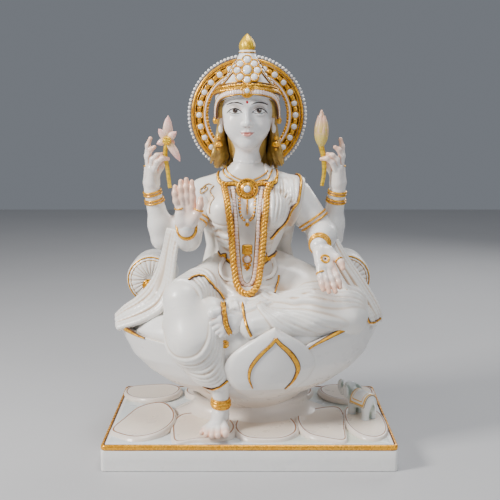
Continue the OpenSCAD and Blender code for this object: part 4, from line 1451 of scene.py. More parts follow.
# %% [markdown]
# The head is set out from the neck and the crown's edge by the carvers' canon, four units of neck and
# twelve of face, a third less wide than high. The eyes lie half way up the skull, five eye-widths span
# it, the nose ends half way from brow to chin and the mouth a third of the way below that. The expression
# is calm. Eyes, brows, forehead mark and lips are paint on smooth stone, so the material draws them from
# the head's own coordinates.

# %% Head, face and ears
H0 = HEAD
HX = AX
EYE_Z = H0[2] + 1.0
head = Clay(H0 + [-50, -54, -98], H0 + [50, 54, 68], 0.85)
head.blob(H0 + [0, 4, 16], (37.5, 40, 42), 4)
head.blob(H0 + [0, -5, -3], (FACE_HALF, 34, 40), 10)
head.blob(H0 + [0, -12, -24], (28, 24, 27), 12)
head.blob(H0 + [0, -24, -44], (12, 11, 9), 10)
for s in (-1, 1):
    head.blob(H0 + [s * 18, -22, -18], (13, 11, 14), 10)
    head.blob(H0 + [s * 17, -43.5, 3], (10.5, 6.5, 5.6), 6, cut=True)
    head.blob(H0 + [s * 16.5, -28.6, 1.0], (9.4, 9.0, 7.4), 1.2)
    with head.group(1.4):
        lid = curve([(s * 7.4, -36.0, -0.6), (s * 12, -38.2, 3.4), (s * 17, -38.6, 4.9),
                     (s * 22, -36.4, 3.8),
                     (s * 26.4, -32.0, 0.6)], 12) + H0
        head.tube(lid, np.linspace(1.0, 1.1, 12))
    with head.group(1.6):
        low = curve([(s * 8.4, -36.0, -2.2), (s * 13, -37.0, -3.8), (s * 18, -36.4, -4.2),
                     (s * 24, -33.0, -2.4)], 10) + H0
        head.tube(low, 0.8)
    with head.group(4.5):
        brow = curve([(s * 6, -38.2, 9.5), (s * 13, -37.6, 12.6), (s * 20, -35.2, 12.6),
                      (s * 28, -28, 9.2)], 10) + H0
        head.tube(brow, [2.2, 2.4, 2.5, 2.4, 2.2, 2.0, 1.8, 1.6, 1.4, 1.2])
# nose: bridge, tip and wings
head.limb(H0 + [0, -36.5, 8], 3.0, H0 + [0, -41.5, -13], 3.9, 5)
head.blob(H0 + [0, -42.2, -16.6], (5.0, 4.6, 4.2), 3.2)
for s in (-1, 1):
    head.blob(H0 + [s * 5.0, -38.6, -17.6], (3.4, 3.8, 3.0), 2.2)
    head.blob(H0 + [s * 2.5, -42.0, -21.4], (1.3, 1.8, 1.1), 1.0, cut=True)
# mouth: two lips with a parting, corners a touch up
with head.group(1.6):
    head.tube(curve([(-10.2, -33.4, -28.6), (-5.5, -37.2, -28.3), (-1.8, -38.6, -27.2), (0, -38.3, -27.8),
                     (1.8, -38.6, -27.2),
                     (5.5, -37.2, -28.3), (10.2, -33.4, -28.6)], 20) + H0, 1.75)
with head.group(1.8):
    head.tube(curve([(-8.4, -34.4, -30.0), (-4, -37.6, -32.2), (0, -38.3, -32.8), (4, -37.6, -32.2),
                     (8.4, -34.4, -30.0)], 16)
              + H0, [1.0, 1.3, 1.7, 2.0, 2.2, 2.4, 2.5, 2.5, 2.5, 2.5, 2.4, 2.2, 2.0, 1.7, 1.3, 1.0])
for a, b in zip(curve([(-10.8, -35.6, -28.2), (-5, -39.6, -29.8), (0, -40.6, -30.0), (5, -39.6, -29.8),
                       (10.8, -35.6, -28.2)], 14)[:-1],
                curve([(-10.8, -35.6, -28.2), (-5, -39.6, -29.8), (0, -40.6, -30.0), (5, -39.6, -29.8),
                       (10.8, -35.6, -28.2)], 14)[1:]):
    head.limb(H0 + a, 0.5, H0 + b, 0.5, 0.8, cut=True)
head.blob(H0 + [0, -41.6, -23.6], (1.3, 2.6, 3.0), 2.0, cut=True)
# neck
head.limb(H0 + [0, 2, -34], 19, NECK + [0, 0, -8], 20, 10)
head.tube(curve([(-19, -8, 0), (-8, -19, -3), (8, -19, -3), (19, -8, 0)], 10) + NECK + [0, 2, 12], 1.4, 2.5)
# ears
for s in (-1, 1):
    E = H0 + [s * 36.5, 3, -7]
    head.blob(E + [0, 0, 0], (3.2, 8.0, 14.5), 2.5, turn=(s * 12, 0, -6))
    with head.group(1.2):
        rim = curve([(s * 0.6, -4.5, -1), (s * 1.6, -6, 7), (s * 3.2, -2.5, 13.5), (s * 4.8, 4, 14),
                     (s * 5.4, 8, 7),
                     (s * 4.4, 7, -3), (s * 2.6, 3, -11), (s * 1.8, -1.5, -15)], 18) + E
        head.tube(rim, 1.9)
    head.blob(E + [s * 2.0, -1.5, -17.5], (3.4, 3.8, 6.4), 2.2)
    head.blob(E + [s * 3.4, 0.2, 1], (2.6, 3.6, 6.5), 1.4, cut=True)
head_ob = head.mesh("head_and_neck", cavity_shade=3.2)
hc = coords(head_ob)
cheek = np.minimum(np.linalg.norm((hc - (H0 + [-21, -34, -14])) / [9, 14, 8], axis=1),
                   np.linalg.norm((hc - (H0 + [21, -34, -14])) / [9, 14, 8], axis=1))
set_attr(head_ob, "rosy", 0.16 * np.clip(1.25 - cheek, 0, 1))


def face_paint(s, col):
    x = (s.x - float(HX)).abs()
    z = s.z - float(EYE_Z)
    front = (s.y * -1.0).ramp(-float(H0[1]) + 18, -float(H0[1]) + 22)

    def arc(x0, half, z0, rise):
        # a parabola over the eye: z0 at its ends, z0 + rise in the middle
        t = (x - x0) * (1.0 / half)
        return (1.0 - t * t) * rise + z0

    def inside(x0, half):
        return ((x - x0) * (1.0 / half)).abs().ramp(0.97, 1.0, 1.0, 0.0)

    def soft(dist, w):
        return dist.ramp(w - 0.16, w + 0.16, 1.0, 0.0)

    wing = (x - 17.0) * 0.055
    top = arc(17.0, 9.4, -0.7, 4.7) + wing
    bot = arc(17.0, 9.0, -0.9, -2.7) + wing
    eye = (z - bot).ramp(-0.15, 0.15) * (top - z).ramp(-0.15, 0.15) * inside(17.0, 9.3)
    col = s.mix(eye * front, col, (0.93, 0.93, 0.92))
    ir = ((x - 16.8) * (x - 16.8) + (z - 0.9) * (z - 0.9)).sqrt()
    iris = ir.ramp(3.45, 3.75, 1.0, 0.0) * eye
    col = s.mix(iris * front, col, (0.05, 0.035, 0.03))
    col = s.mix(ir.ramp(1.7, 3.0, 0.0, 0.55) * ir.ramp(3.0, 3.4, 1.0, 0.0) * eye * front, col,
                (0.24, 0.17, 0.12))
    # a painted highlight on each iris
    glint = ((s.x - float(HX) - 17.9).abs().min((s.x - float(HX) + 15.7).abs()))
    g2 = (glint * glint + (z - 2.1) * (z - 2.1)).sqrt()
    col = s.mix(g2.ramp(0.5, 0.85, 1.0, 0.0) * eye * front, col, (0.95, 0.95, 0.95))
    liner = soft((z - top).abs(), 0.85) * ((x - 17.6) * (1.0 / 11.6)).abs().ramp(0.93, 1.0, 1.0, 0.0)
    liner = liner.max(soft((z - bot).abs(), 0.45) * inside(17.6, 9.6))
    col = s.mix(liner * front, col, (0.025, 0.02, 0.02))
    crease = soft((z - (top + 2.6)).abs(), 0.28) * inside(17.0, 8.6)
    col = s.mix(crease * front * 0.75, col, (0.28, 0.17, 0.13))
    bt = (x - 17.5) * (1.0 / 12.2)
    brow = (1.0 - bt * bt) * 3.6 + 8.6 - (x - 17.5) * 0.03
    bw = (1.0 - bt.abs().pow(2.2)).max(0.0).sqrt() * 1.1
    bm_ = ((z - brow).abs() - bw).ramp(-0.14, 0.14, 1.0, 0.0) * bt.abs().ramp(0.97, 1.0, 1.0, 0.0)
    col = s.mix(bm_ * front, col, (0.05, 0.035, 0.03))
    # forehead mark
    b1 = (x * x + (z - 12.6) * (z - 12.6) * 0.62).sqrt()
    col = s.mix(b1.ramp(1.55, 1.85, 1.0, 0.0) * front, col, (0.45, 0.02, 0.03))
    # lips
    m = z + 31.0
    part = (x * (1.0 / 10.6)).pow(2.0) * 1.6
    upper = (1.0 - (x * (1.0 / 10.6)).pow(1.6)) * 2.7 - x.ramp(0.0, 2.0, 0.75, 0.0)
    lip_u = (m - part).ramp(-0.1, 0.15) * (upper + part * 0.6 - m).ramp(-0.15, 0.15)
    low = (1.0 - (x * (1.0 / 9.6)).pow(2.0)) * -4.3
    lip_l = (part - m).ramp(-0.1, 0.15) * (m - low - part * 0.7).ramp(-0.15, 0.15)
    lips = lip_u.max(lip_l) * x.ramp(10.2, 10.8, 1.0, 0.0)
    col = s.mix(lips * front * 0.92, col, (0.74, 0.27, 0.22))
    seam = soft((m - part).abs(), 0.30) * x.ramp(9.6, 11.2, 1.0, 0.0)
    col = s.mix(seam * front * 0.85, col, (0.34, 0.06, 0.06))
    # painted shade: a soft dark mark at each nostril
    nx = (x - 2.6) * (x - 2.6) + (z + 22.2) * (z + 22.2) * 2.5
    col = s.mix(nx.sqrt().ramp(0.9, 1.9, 0.6, 0.0) * front, col, (0.45, 0.22, 0.18))
    return col


FACE = marble("Painted_face_marble", base=(0.90, 0.89, 0.875), hollow=(0.86, 0.66, 0.56), amount=0.40,
              blush=(0.90, 0.55, 0.46), extra=face_paint, rough=0.24)
finish_piece(head_ob, FACE, "marble", "head")

# %% [markdown]
# The hair is combed back under the crown and falls behind the ears in thick locks to the shoulders. Each
# lock is a tapered, waving strand; the strands are packed close and painted in brown and gold, and the
# valleys between them are darkened with painted shade.

# %% Hair
hair = Clay(H0 + [-68, -32, -96], H0 + [68, 50, 46], 1.0)
hair.blob(H0 + [0, 9, 12], (38.8, 38, 38), 3)
hair.limb(H0 + [0, 12, -6], 33, H0 + [0, 14, -52], 27, 8)
for s in (-1, 1):
    hair.limb(H0 + [s * 34, -8, 20], 9.5, H0 + [s * 38.5, -1, -2], 8.0, 4)
rng = np.random.default_rng(21)
for s in (-1, 1):
    for i in range(9):
        u = i / 8
        y0 = -10 + 26 * u
        top_ = v(s * (36 - 3 * u), y0 * 0.8, 6 - 2 * u)
        end = v(s * (52 - 20 * u + rng.uniform(-1.5, 1.5)), 0 + 26 * u,
                -74 - 6 * math.sin(u * 3) + rng.uniform(-2, 2))
        w = 2.0 * rng.uniform(0.6, 1.2)
        pts = [top_, top_ * 0.45 + end * 0.55 * v(0.86, 1, 1) + v(s * (8 - 3 * u), 5, -4) * 0.6 + v(s * w,
                w, 0) * 0.4,
               top_ * 0.2 + end * 0.8 + v(-s * w, -w, 0), end]
        if i < 4:
            pts[0] = v(s * 37, 6 + i * 2, -4)
            pts[1] = v(s * (41 - i), 10 + i * 3, -34)
        P = curve([H0 + p for p in pts], 16)
        with hair.group(1.6):
            hair.tube(P, 4.7 * np.array([0.8, 0.9, 1, 1.05, 1.1, 1.1, 1.1, 1.1, 1.1, 1.05, 1.0, 0.95, 0.85,
                                         0.7, 0.5, 0.3]))
    # fine strands on the temple
    for i in range(5):
        a = curve([H0 + v(s * (24 + i * 2.2), -28 + i * 5.2, 27 - i * 3.4),
                   H0 + v(s * (32 + i), -18 + i * 4, 17 - i * 2),
                   H0 + v(s * (37.5 + 0.2 * i), -8 + i * 3, 3 - i * 2)], 8)
        with hair.group(1.3):
            hair.tube(a, 2.1)
for i in range(11):
    x = -30 + 6 * i
    P = curve([H0 + v(x * 0.6, 38 - abs(x) * 0.25, 20), H0 + v(x, 42 - abs(x) * 0.3, -10),
               H0 + v(x * 1.1, 38 - abs(x) * 0.25, -46), H0 + v(x * 1.05 + 2 * math.sin(i),
                       33 - abs(x) * 0.1, -80)], 14)
    with hair.group(1.8):
        hair.tube(P, 4.6)
hair_ob = hair.mesh("hair_and_locks", cavity_shade=2.4)


def hair_colour():
    s = Shader("Painted_hair")
    shade_mask = s.attr("cavity_shade").ramp(0.25, 0.75)
    n = s.noise(70, 4, 0.6, 0.8)
    col = s.mix(n.ramp(0.3, 0.7), (0.30, 0.17, 0.035), (0.56, 0.37, 0.09))
    # painted shade: near-black in the valleys between strands
    col = s.mix(shade_mask, col, (0.045, 0.025, 0.012))
    s.bump(n, 0.3, 0.0008)
    return s.set(Base_Color=col, Roughness=n.ramp(0.2, 0.8, 0.32, 0.5), Metallic=(1.0 - shade_mask) * 0.35,
                 Coat_Weight=0.1)


finish_piece(hair_ob, hair_colour(), "painted_hair", "hair")
print("hair done")

# %% [markdown]
# Pearls, gems, beads and rope repeat along a path. Two node trees make them: one sets a small model at
# even steps along a path, turned to face outward, with a little difference of size from bead to bead; the
# other carries a lobed section along a path and turns it as it goes, which is what a twisted rope of
# stone looks like.

# %% Two node trees for what repeats along a path
def socket(tree, name, kind, default=None):
    s = tree.interface.new_socket(name=name, in_out="INPUT", socket_type=kind)
    if default is not None:
        s.default_value = default
    return s


def start_tree(name):
    t = bpy.data.node_groups.new(name, "GeometryNodeTree")
    t.is_modifier = True
    socket(t, "Path", "NodeSocketGeometry")
    t.interface.new_socket(name="Geometry", in_out="OUTPUT", socket_type="NodeSocketGeometry")
    return t


def node(t, kind, **props):
    n = t.nodes.new(kind)
    for k, val in props.items():
        setattr(n, k, val)
    return n


def beads_tree():
    t = start_tree("Models_along_a_path")
    socket(t, "Model", "NodeSocketObject")
    socket(t, "Count", "NodeSocketInt", 24)
    socket(t, "Size", "NodeSocketFloat", 1.0)
    socket(t, "Variation", "NodeSocketFloat", 0.05)
    socket(t, "Seed", "NodeSocketInt", 1)
    socket(t, "Material", "NodeSocketMaterial")
    L = t.links.new
    gi, go = node(t, "NodeGroupInput"), node(t, "NodeGroupOutput")
    to_curve = node(t, "GeometryNodeMeshToCurve")
    walk = node(t, "GeometryNodeResampleCurve")
    tan = node(t, "GeometryNodeInputTangent")
    face = node(t, "GeometryNodeInputNamedAttribute", data_type="FLOAT_VECTOR")
    face.inputs["Name"].default_value = "facing"
    a1 = node(t, "FunctionNodeAlignRotationToVector", axis="X")
    a2 = node(t, "FunctionNodeAlignRotationToVector", axis="Z", pivot_axis="X")
    info = node(t, "GeometryNodeObjectInfo")
    info.inputs["As Instance"].default_value = True
    rnd = node(t, "FunctionNodeRandomValue", data_type="FLOAT")
    one_up, one_dn = node(t, "ShaderNodeMath", operation="ADD"), node(t, "ShaderNodeMath",
            operation="SUBTRACT")
    size = node(t, "ShaderNodeMath", operation="MULTIPLY")
    inst = node(t, "GeometryNodeInstanceOnPoints")
    real = node(t, "GeometryNodeRealizeInstances")
    mat = node(t, "GeometryNodeSetMaterial")
    L(gi.outputs["Path"], to_curve.inputs[0])
    L(to_curve.outputs[0], walk.inputs["Curve"])
    L(gi.outputs["Count"], walk.inputs["Count"])
    L(tan.outputs[0], a1.inputs["Vector"])
    L(a1.outputs[0], a2.inputs["Rotation"])
    L(face.outputs["Attribute"], a2.inputs["Vector"])
    L(gi.outputs["Model"], info.inputs["Object"])
    one_up.inputs[0].default_value = one_dn.inputs[0].default_value = 1.0
    L(gi.outputs["Variation"], one_up.inputs[1])
    L(gi.outputs["Variation"], one_dn.inputs[1])
    L(one_dn.outputs[0], rnd.inputs[2])
    L(one_up.outputs[0], rnd.inputs[3])
    L(gi.outputs["Seed"], rnd.inputs["Seed"])
    L(rnd.outputs[1], size.inputs[0])
    L(gi.outputs["Size"], size.inputs[1])
    L(walk.outputs[0], inst.inputs["Points"])
    L(info.outputs["Geometry"], inst.inputs["Instance"])
    L(a2.outputs[0], inst.inputs["Rotation"])
    L(size.outputs[0], inst.inputs["Scale"])
    L(inst.outputs[0], real.inputs[0])
    L(real.outputs[0], mat.inputs["Geometry"])
    L(gi.outputs["Material"], mat.inputs["Material"])
    L(mat.outputs[0], go.inputs[0])
    return t


def rope_tree():
    t = start_tree("Twisted_section_along_a_path")
    socket(t, "Section", "NodeSocketObject")
    socket(t, "Count", "NodeSocketInt", 200)
    socket(t, "Turns", "NodeSocketFloat", 20.0)
    socket(t, "Material", "NodeSocketMaterial")
    L = t.links.new
    gi, go = node(t, "NodeGroupInput"), node(t, "NodeGroupOutput")
    to_curve, walk = node(t, "GeometryNodeMeshToCurve"), node(t, "GeometryNodeResampleCurve")
    par = node(t, "GeometryNodeSplineParameter")
    turn = node(t, "ShaderNodeMath", operation="MULTIPLY")
    full = node(t, "ShaderNodeMath", operation="MULTIPLY")
    full.inputs[1].default_value = 2 * math.pi
    tilt = node(t, "GeometryNodeSetCurveTilt")
    info = node(t, "GeometryNodeObjectInfo")
    sec = node(t, "GeometryNodeMeshToCurve")
    skin = node(t, "GeometryNodeCurveToMesh")
    skin.inputs["Fill Caps"].default_value = True
    real = node(t, "GeometryNodeRealizeInstances")
    mat = node(t, "GeometryNodeSetMaterial")
    L(gi.outputs["Path"], to_curve.inputs[0])
    L(to_curve.outputs[0], walk.inputs["Curve"])
    L(gi.outputs["Count"], walk.inputs["Count"])
    L(par.outputs["Factor"], turn.inputs[0])
    L(gi.outputs["Turns"], turn.inputs[1])
    L(turn.outputs[0], full.inputs[0])
    L(walk.outputs[0], tilt.inputs["Curve"])
    L(full.outputs[0], tilt.inputs["Tilt"])
    L(gi.outputs["Section"], info.inputs["Object"])
    L(info.outputs["Geometry"], sec.inputs[0])
    L(tilt.outputs[0], skin.inputs["Curve"])
    L(sec.outputs[0], skin.inputs["Profile Curve"])
    L(skin.outputs[0], real.inputs[0])
    L(real.outputs[0], mat.inputs["Geometry"])
    L(gi.outputs["Material"], mat.inputs["Material"])
    L(mat.outputs[0], go.inputs[0])
    return t


BEADS, ROPE = beads_tree(), rope_tree()


def path_object(P, facing=None, closed=False):
    P = np.asarray(P, float)
    me = bpy.data.meshes.new("path")
    e = [(i, i + 1) for i in range(len(P) - 1)] + ([(len(P) - 1, 0)] if closed else [])
    me.from_pydata([tuple(p) for p in P * MM], e, [])
    if facing is not None:
        at = me.attributes.new("facing", "FLOAT_VECTOR", "POINT")
        at.data.foreach_set("vector", np.ascontiguousarray(np.broadcast_to(facing, P.shape),
                np.float32).ravel())
    ob = bpy.data.objects.new("path", me)
    bpy.context.scene.collection.objects.link(ob)
    return ob


def grow_tree(name, tree, path, **inputs):
    # run a tree on a path, keep the plain mesh it makes
    md = path.modifiers.new("nodes", "NODES")
    md.node_group = tree
    ids = {s.name: s.identifier for s in tree.interface.items_tree
           if s.item_type == "SOCKET" and s.in_out == "INPUT"}
    for k, val in inputs.items():
        md[ids[k]] = val
    path.update_tag()
    bpy.context.view_layer.update()
    dg = bpy.context.evaluated_depsgraph_get()
    me = bpy.data.meshes.new_from_object(path.evaluated_get(dg))
    ob = bpy.data.objects.new(name, me)
    bpy.context.scene.collection.objects.link(ob)
    me.name = name
    me.polygons.foreach_set("use_smooth", np.ones(len(me.polygons), bool))
    bpy.data.objects.remove(path, do_unlink=True)
    for key in ("across", "cavity_shade"):
        if key not in me.attributes:
            set_attr(ob, key, np.zeros(len(me.vertices)))
    if "facing" in me.attributes:
        me.attributes.remove(me.attributes["facing"])
    return outward(ob)


def set_along(name, model, P, facing, count, material, size=1.0, variation=0.04, seed=1, closed=False):
    return grow_tree(name, BEADS, path_object(P, facing, closed), Model=model, Count=int(count),
                     Size=float(size),
                     Variation=float(variation), Seed=int(seed), Material=material)


def rope_along(name, section, P, turns, count, material):
    return grow_tree(name, ROPE, path_object(P), Section=section, Count=int(count), Turns=float(turns),
                     Material=material)


# %% [markdown]
# Pearls, set stones and leaves repeat by the hundred. Each is modelled once here, small and cheap, and
# the node trees place copies; the models themselves are taken away at the end.

# %% Small models to repeat: pearl, round stone, bezel, square stone, leaf
MODELS = []


def lathe(name, prof, n=20, across=None, cavity_shade=None, flat=1.0):
    # prof: (radius, height) from bottom to top, about Z
    a = np.linspace(0, 2 * math.pi, n, endpoint=False)
    prof = np.array(prof, float)
    R = np.stack([np.stack([r * np.cos(a), r * np.sin(a) * flat, np.full(n, z)], -1) for r, z in prof])
    att = {"across": np.zeros((len(prof), n)) if across is None else np.tile(np.array(across, float)[:,
            None], (1, n)),
           "cavity_shade": np.zeros((len(prof), n)) if cavity_shade is None else np.tile(np.array(cavity_shade, float)[:,
                   None], (1, n))}
    return loft(name, R, attrs=att)


def model(ob):
    ob.hide_render = True
    MODELS.append(ob)
    return ob


def ball(m=10, flat=1.0):
    t = np.linspace(0, math.pi, m + 1)[1:-1]
    return [(math.sin(x), -flat * math.cos(x)) for x in t]


PEARL_M = model(lathe("pearl_model", ball(10), 16))
DOME = [(1.0, -0.5), (1.0, 0.05), (0.93, 0.25), (0.78, 0.40), (0.5, 0.52), (0.2, 0.57)]
GEM_M = model(lathe("round_stone_model", DOME, 20, across=[1, 1, 0.6, 0.1, 0, 0]))
BEZEL = [(1.02, -0.5), (1.36, -0.5), (1.36, 0.04), (1.27, 0.34), (1.12, 0.34), (1.03, 0.04)]


def bezel_model():
    a = np.linspace(0, 2 * math.pi, 21)
    R = np.stack([np.stack([r * np.cos(a), r * np.sin(a), np.full(21, z)], -1) for r, z in BEZEL], 1)
    ac = [0.7, 0.3, 0.1, 0.1, 0.1, 1.0]
    ob = loft("bezel_model", R, closed_ends=False, attrs={"across": np.tile(ac, (21, 1)),
            "cavity_shade": np.zeros((21, 6))})
    bm = bmesh.new()
    bm.from_mesh(ob.data)
    bmesh.ops.remove_doubles(bm, verts=bm.verts, dist=1e-6)
    bm.to_mesh(ob.data)
    bm.free()
    return ob


BEZEL_M = model(bezel_model())


def block(name, hx, hy, hz, n=24, power=5.0):
    a = np.linspace(0, 2 * math.pi, n, endpoint=False)
    c, s = np.cos(a), np.sin(a)
    k = (np.abs(c) ** power + np.abs(s) ** power) ** (-1 / power)
    prof = [(0.92, -1.0, 1.0), (1.0, -0.7, 1.0), (1.0, 0.35, 0.9), (0.93, 0.75, 0.6), (0.72, 0.97, 0.1),
            (0.3, 1.03, 0.0)]
    R = np.stack([np.stack([hx * r * k * c, hy * r * k * s, np.full(n, hz * z)], -1) for r, z, _ in prof])
    # painted shade round the foot of each stone
    return loft(name, R, attrs={"across": np.tile(np.array([p[2] for p in prof])[:, None], (1, n)),
                                "cavity_shade": np.tile(np.array([0.9, 0.6, 0, 0, 0, 0.0])[:, None], (1, n))})


TILE_M = model(block("square_stone_model", 1.0, 1.0, 0.55))
SEG_M = model(block("long_stone_model", 1.0, 1.5, 0.6))


def leaf_model():
    # a pointed leaf lying on XY, its tip along +X, with a rib
    n, m = 9, 12
    s = np.linspace(0.0, 1.0, n)
    w = np.sin(np.pi * s ** 0.8) * 0.62 * (1 - 0.35 * s) + 0.02
    rings = []
    a = np.linspace(0, 2 * math.pi, m, endpoint=False)
    for si, wi in zip(s, w):
        rings.append(np.stack([np.full(m, (si - 0.42) * 2.0), wi * np.cos(a),
                               0.35 * wi * np.sin(a) + 0.55 * math.sin(si * 2.2) * 0.5
                               + 0.10 * (np.abs(np.cos(a)) < 0.25)], -1))
    ca = np.tile(np.clip(np.abs(np.cos(a)) * 1.15 - 0.15, 0, 1), (n, 1))
    return loft("leaf_model", np.array(rings), attrs={"across": ca, "cavity_shade": np.zeros((n, m))})


LEAF_M = model(leaf_model())
print("node trees:", len(bpy.data.node_groups), "models:", len(MODELS))

# %% [markdown]
# The halo is a flat pierced disc that stands behind the head: a raised gilded rim, a channel of white
# stones with gold squares between them, a pale inner fillet, a string of gold beads round the opening and
# pearls round the outside. It is gilded at the back as well.

# %% Halo
HC = mid("halo_ring")
R_OUT = (hi("halo_ring")[0] - lo("halo_ring")[0]) / 2


def ring_lathe(name, prof, across, n=160, cavity_shade=None):
    # prof: (radius, depth) with depth along Y about the halo's centre, closed on itself
    a = np.linspace(0, 2 * math.pi, n, endpoint=False)
    R = np.stack([np.stack([HC[0] + r * np.cos(a), np.full(n, HC[1] + y), HC[2] + r * np.sin(a)],
                           -1) for r, y in prof], 1)
    R = np.vstack([R, R[:1]])
    att = {"across": np.tile(across, (n + 1, 1)), "cavity_shade": np.tile(cavity_shade or [0.0] * len(prof), (n + 1, 1))}
    ob = loft(name, R, closed_ends=False, attrs=att)
    bm = bmesh.new()
    bm.from_mesh(ob.data)
    bmesh.ops.remove_doubles(bm, verts=bm.verts, dist=1e-6)
    bm.to_mesh(ob.data)
    bm.free()
    return ob


def circle(r, dy, n=240, a0=0.0):
    a = np.linspace(0, 2 * math.pi, n, endpoint=False) + a0
    return np.stack([HC[0] + r * np.cos(a), np.full(n, HC[1] + dy), HC[2] + r * np.sin(a)], -1)


r0 = R_OUT
# painted shade in the sunken channel that holds the stones
finish_piece(ring_lathe("halo_white_disc", [(r0 - 2, 3.6), (r0 - 1, 2.0), (r0 - 1, -1.5), (r0 - 4, -2.4),
                                                         (r0 - 5, -1.6), (r0 - 17.5, -1.6),
                                                                 (r0 - 19, -2.6), (r0 - 21.6, -2.4),
                                                         (r0 - 22.4, -1.0), (r0 - 22.4, 2.0),
                                                                 (r0 - 21, 3.6)],
                                          [0.0] * 11, cavity_shade=[0, 0, 0.2, 0.8, 1, 1, 0.7, 0, 0, 0, 0]),
                                          WHITE, "gilding", "halo_ring")


def torus_line(name, r, dy, w, h):
    prof = [(r - w, dy + 1.5), (r - w, dy), (r - w * 0.8, dy - h * 0.7), (r - w * 0.3, dy - h),
            (r + w * 0.3, dy - h),
            (r + w * 0.8, dy - h * 0.7), (r + w, dy), (r + w, dy + 1.5)]
    return ring_lathe(name, prof, [1, 1, 0.7, 0.1, 0.1, 0.7, 1, 1])


rim = merge("halo_gilded_rims", [torus_line("r", r0 - 1.9, -1.6, 2.5, 2.9),
                                 torus_line("r", r0 - 5.6, -1.6, 1.0, 1.8),
                                 torus_line("r", r0 - 17.7, -1.6, 0.9, 1.8),
                                 ring_lathe("r", [(r0 - 6.0, -0.5), (r0 - 6.0, -2.1), (r0 - 17.2, -2.1),
                                                  (r0 - 17.2, -0.5)],
                                            [0.9, 0.75, 0.75, 0.9]),
                                 ring_lathe("r", [(r0 - 2.8, 3.0), (r0 - 2.8, 4.4), (r0 - 0.4, 4.4),
                                                  (r0 + 0.2, 2.6)],
                                            [1, 0.2, 0.2, 1.0])])
finish_piece(rim, GOLD, "gilding")
fil = ring_lathe("halo_pale_fillet", [(r0 - 21.4, 0), (r0 - 21.6, -3.2), (r0 - 20.4, -4.1),
                                      (r0 - 19.2, -3.2), (r0 - 19.0, 0)],
                 [0.0] * 5)
finish_piece(fil, PEARL, "pearls")
NG = 26
FACE_Y = v(0, -1, 0)
stones = set_along("halo_round_stones", GEM_M, circle(r0 - 11.6, -1.7), FACE_Y, NG, STONE, size=4.5,
                   closed=True, seed=4)
finish_piece(stones, STONE, "stones", "halo_stones")
bez = set_along("bezels", BEZEL_M, circle(r0 - 11.6, -1.7), FACE_Y, NG, GOLD, size=4.5, closed=True, seed=4)
sq = set_along("squares", TILE_M, circle(r0 - 11.6, -2.0, a0=math.pi / NG), FACE_Y, NG, GOLD, size=3.1,
               closed=True, seed=5)
finish_piece(merge("halo_bezels_and_gold_squares", [bez, sq]), GOLD, "gilding")
inner = set_along("halo_inner_gold_beads", PEARL_M, circle(r0 - 22.6, -0.5), FACE_Y, 80, RICH, size=2.8,
                  closed=True, seed=6,
                  variation=0.1)
# painted shade on the side of each bead towards the disc
set_attr(inner, "cavity_shade", np.clip(((coords(inner)[:, 1] - HC[1]) + 1.2) / 2.0, 0, 1))
finish_piece(inner, RICH, "gilding")
hp = set_along("halo_rim_pearls", PEARL_M, circle(r0 + 3.4, 0.0), FACE_Y, 96, WHITE_PEARL, size=2.4,
               closed=True, seed=7)
finish_piece(hp, WHITE_PEARL, "pearls", "halo_pearls")
print("halo: %d stones, 92 pearls" % NG)

# %% [markdown]
# The crown is a tall cap that narrows to a lotus-bud finial. A band of stones frames the forehead from
# ear to ear, a band of gold leaves rises over it, and a flower of paste stones sits in front with gilded
# bands falling to either side. Each jewel is cut standing proud of the cap.

# %% Crown cap and neck
CX = AX
BZ = lo("crown")[2]


def cap_ring(rx, ry, cy, z0, dip, n=96):
    a = np.linspace(0, 2 * math.pi, n, endpoint=False)
    z = z0 - dip * (0.5 + 0.5 * np.sin(a)) ** 0.7
    return np.stack([CX + rx * np.cos(a), cy + ry * np.sin(a), z], -1)


# the cap's lower edge is highest over the brow and dips to the ears and the nape
CAP = [(38, 35, 3, BZ + 1, 19), (44.5, 40.5, 2, BZ + 1, 19), (46.0, 42.0, 2, BZ + 5, 18),
       (45.4, 41.5, 2, BZ + 11, 13),
       (41.0, 38.5, 2.2, BZ + 16.5, 9), (34.5, 35.0, 2.6, BZ + 22.5, 5), (28.0, 30.5, 3.2, BZ + 30, 3),
       (23.0, 26.0, 4.2, BZ + 38, 1),
       (18.8, 21.0, 5.6, BZ + 46, 0), (14.6, 16.0, 7, BZ + 53, 0), (12.2, 12.6, 8, BZ + 58.5, 0),
       (11.0, 11.2, 8, BZ + 60.5, 0),
       (12.0, 12.2, 8, BZ + 62.3, 0), (10.8, 11.0, 8, BZ + 64.2, 0), (7.6, 7.8, 8, BZ + 65, 0)]
cap = loft("crown_cap", [cap_ring(*c) for c in CAP], attrs={"cavity_shade": 0.0})
cc = coords(cap)
lines = np.abs(np.sin((np.arctan2(cc[:, 1] - 4, cc[:, 0] - CX)) * 12))
# darker in 24 narrow upright stripes low on the cap
set_attr(cap, "cavity_shade", 0.25 * (cc[:, 2] < BZ + 26) * (lines < 0.3))
finish_piece(cap, WHITE, "gilding", "crown")
cap_skin = Skin([cap])


def around(z_of, a0, a1, n, lift=0.0):
    # a line round the cap: azimuth in degrees from the front, height as a function of the azimuth
    a = np.radians(np.linspace(a0, a1, n))
    d = np.stack([np.sin(a), -np.cos(a), 0 * a], -1)
    z = np.array([z_of(math.degrees(x)) for x in a])
    pts = np.stack([np.full(n, CX), np.full(n, 3.0), z], -1) + d * 70
    return cap_skin.drop(pts, -d, 10, lift)


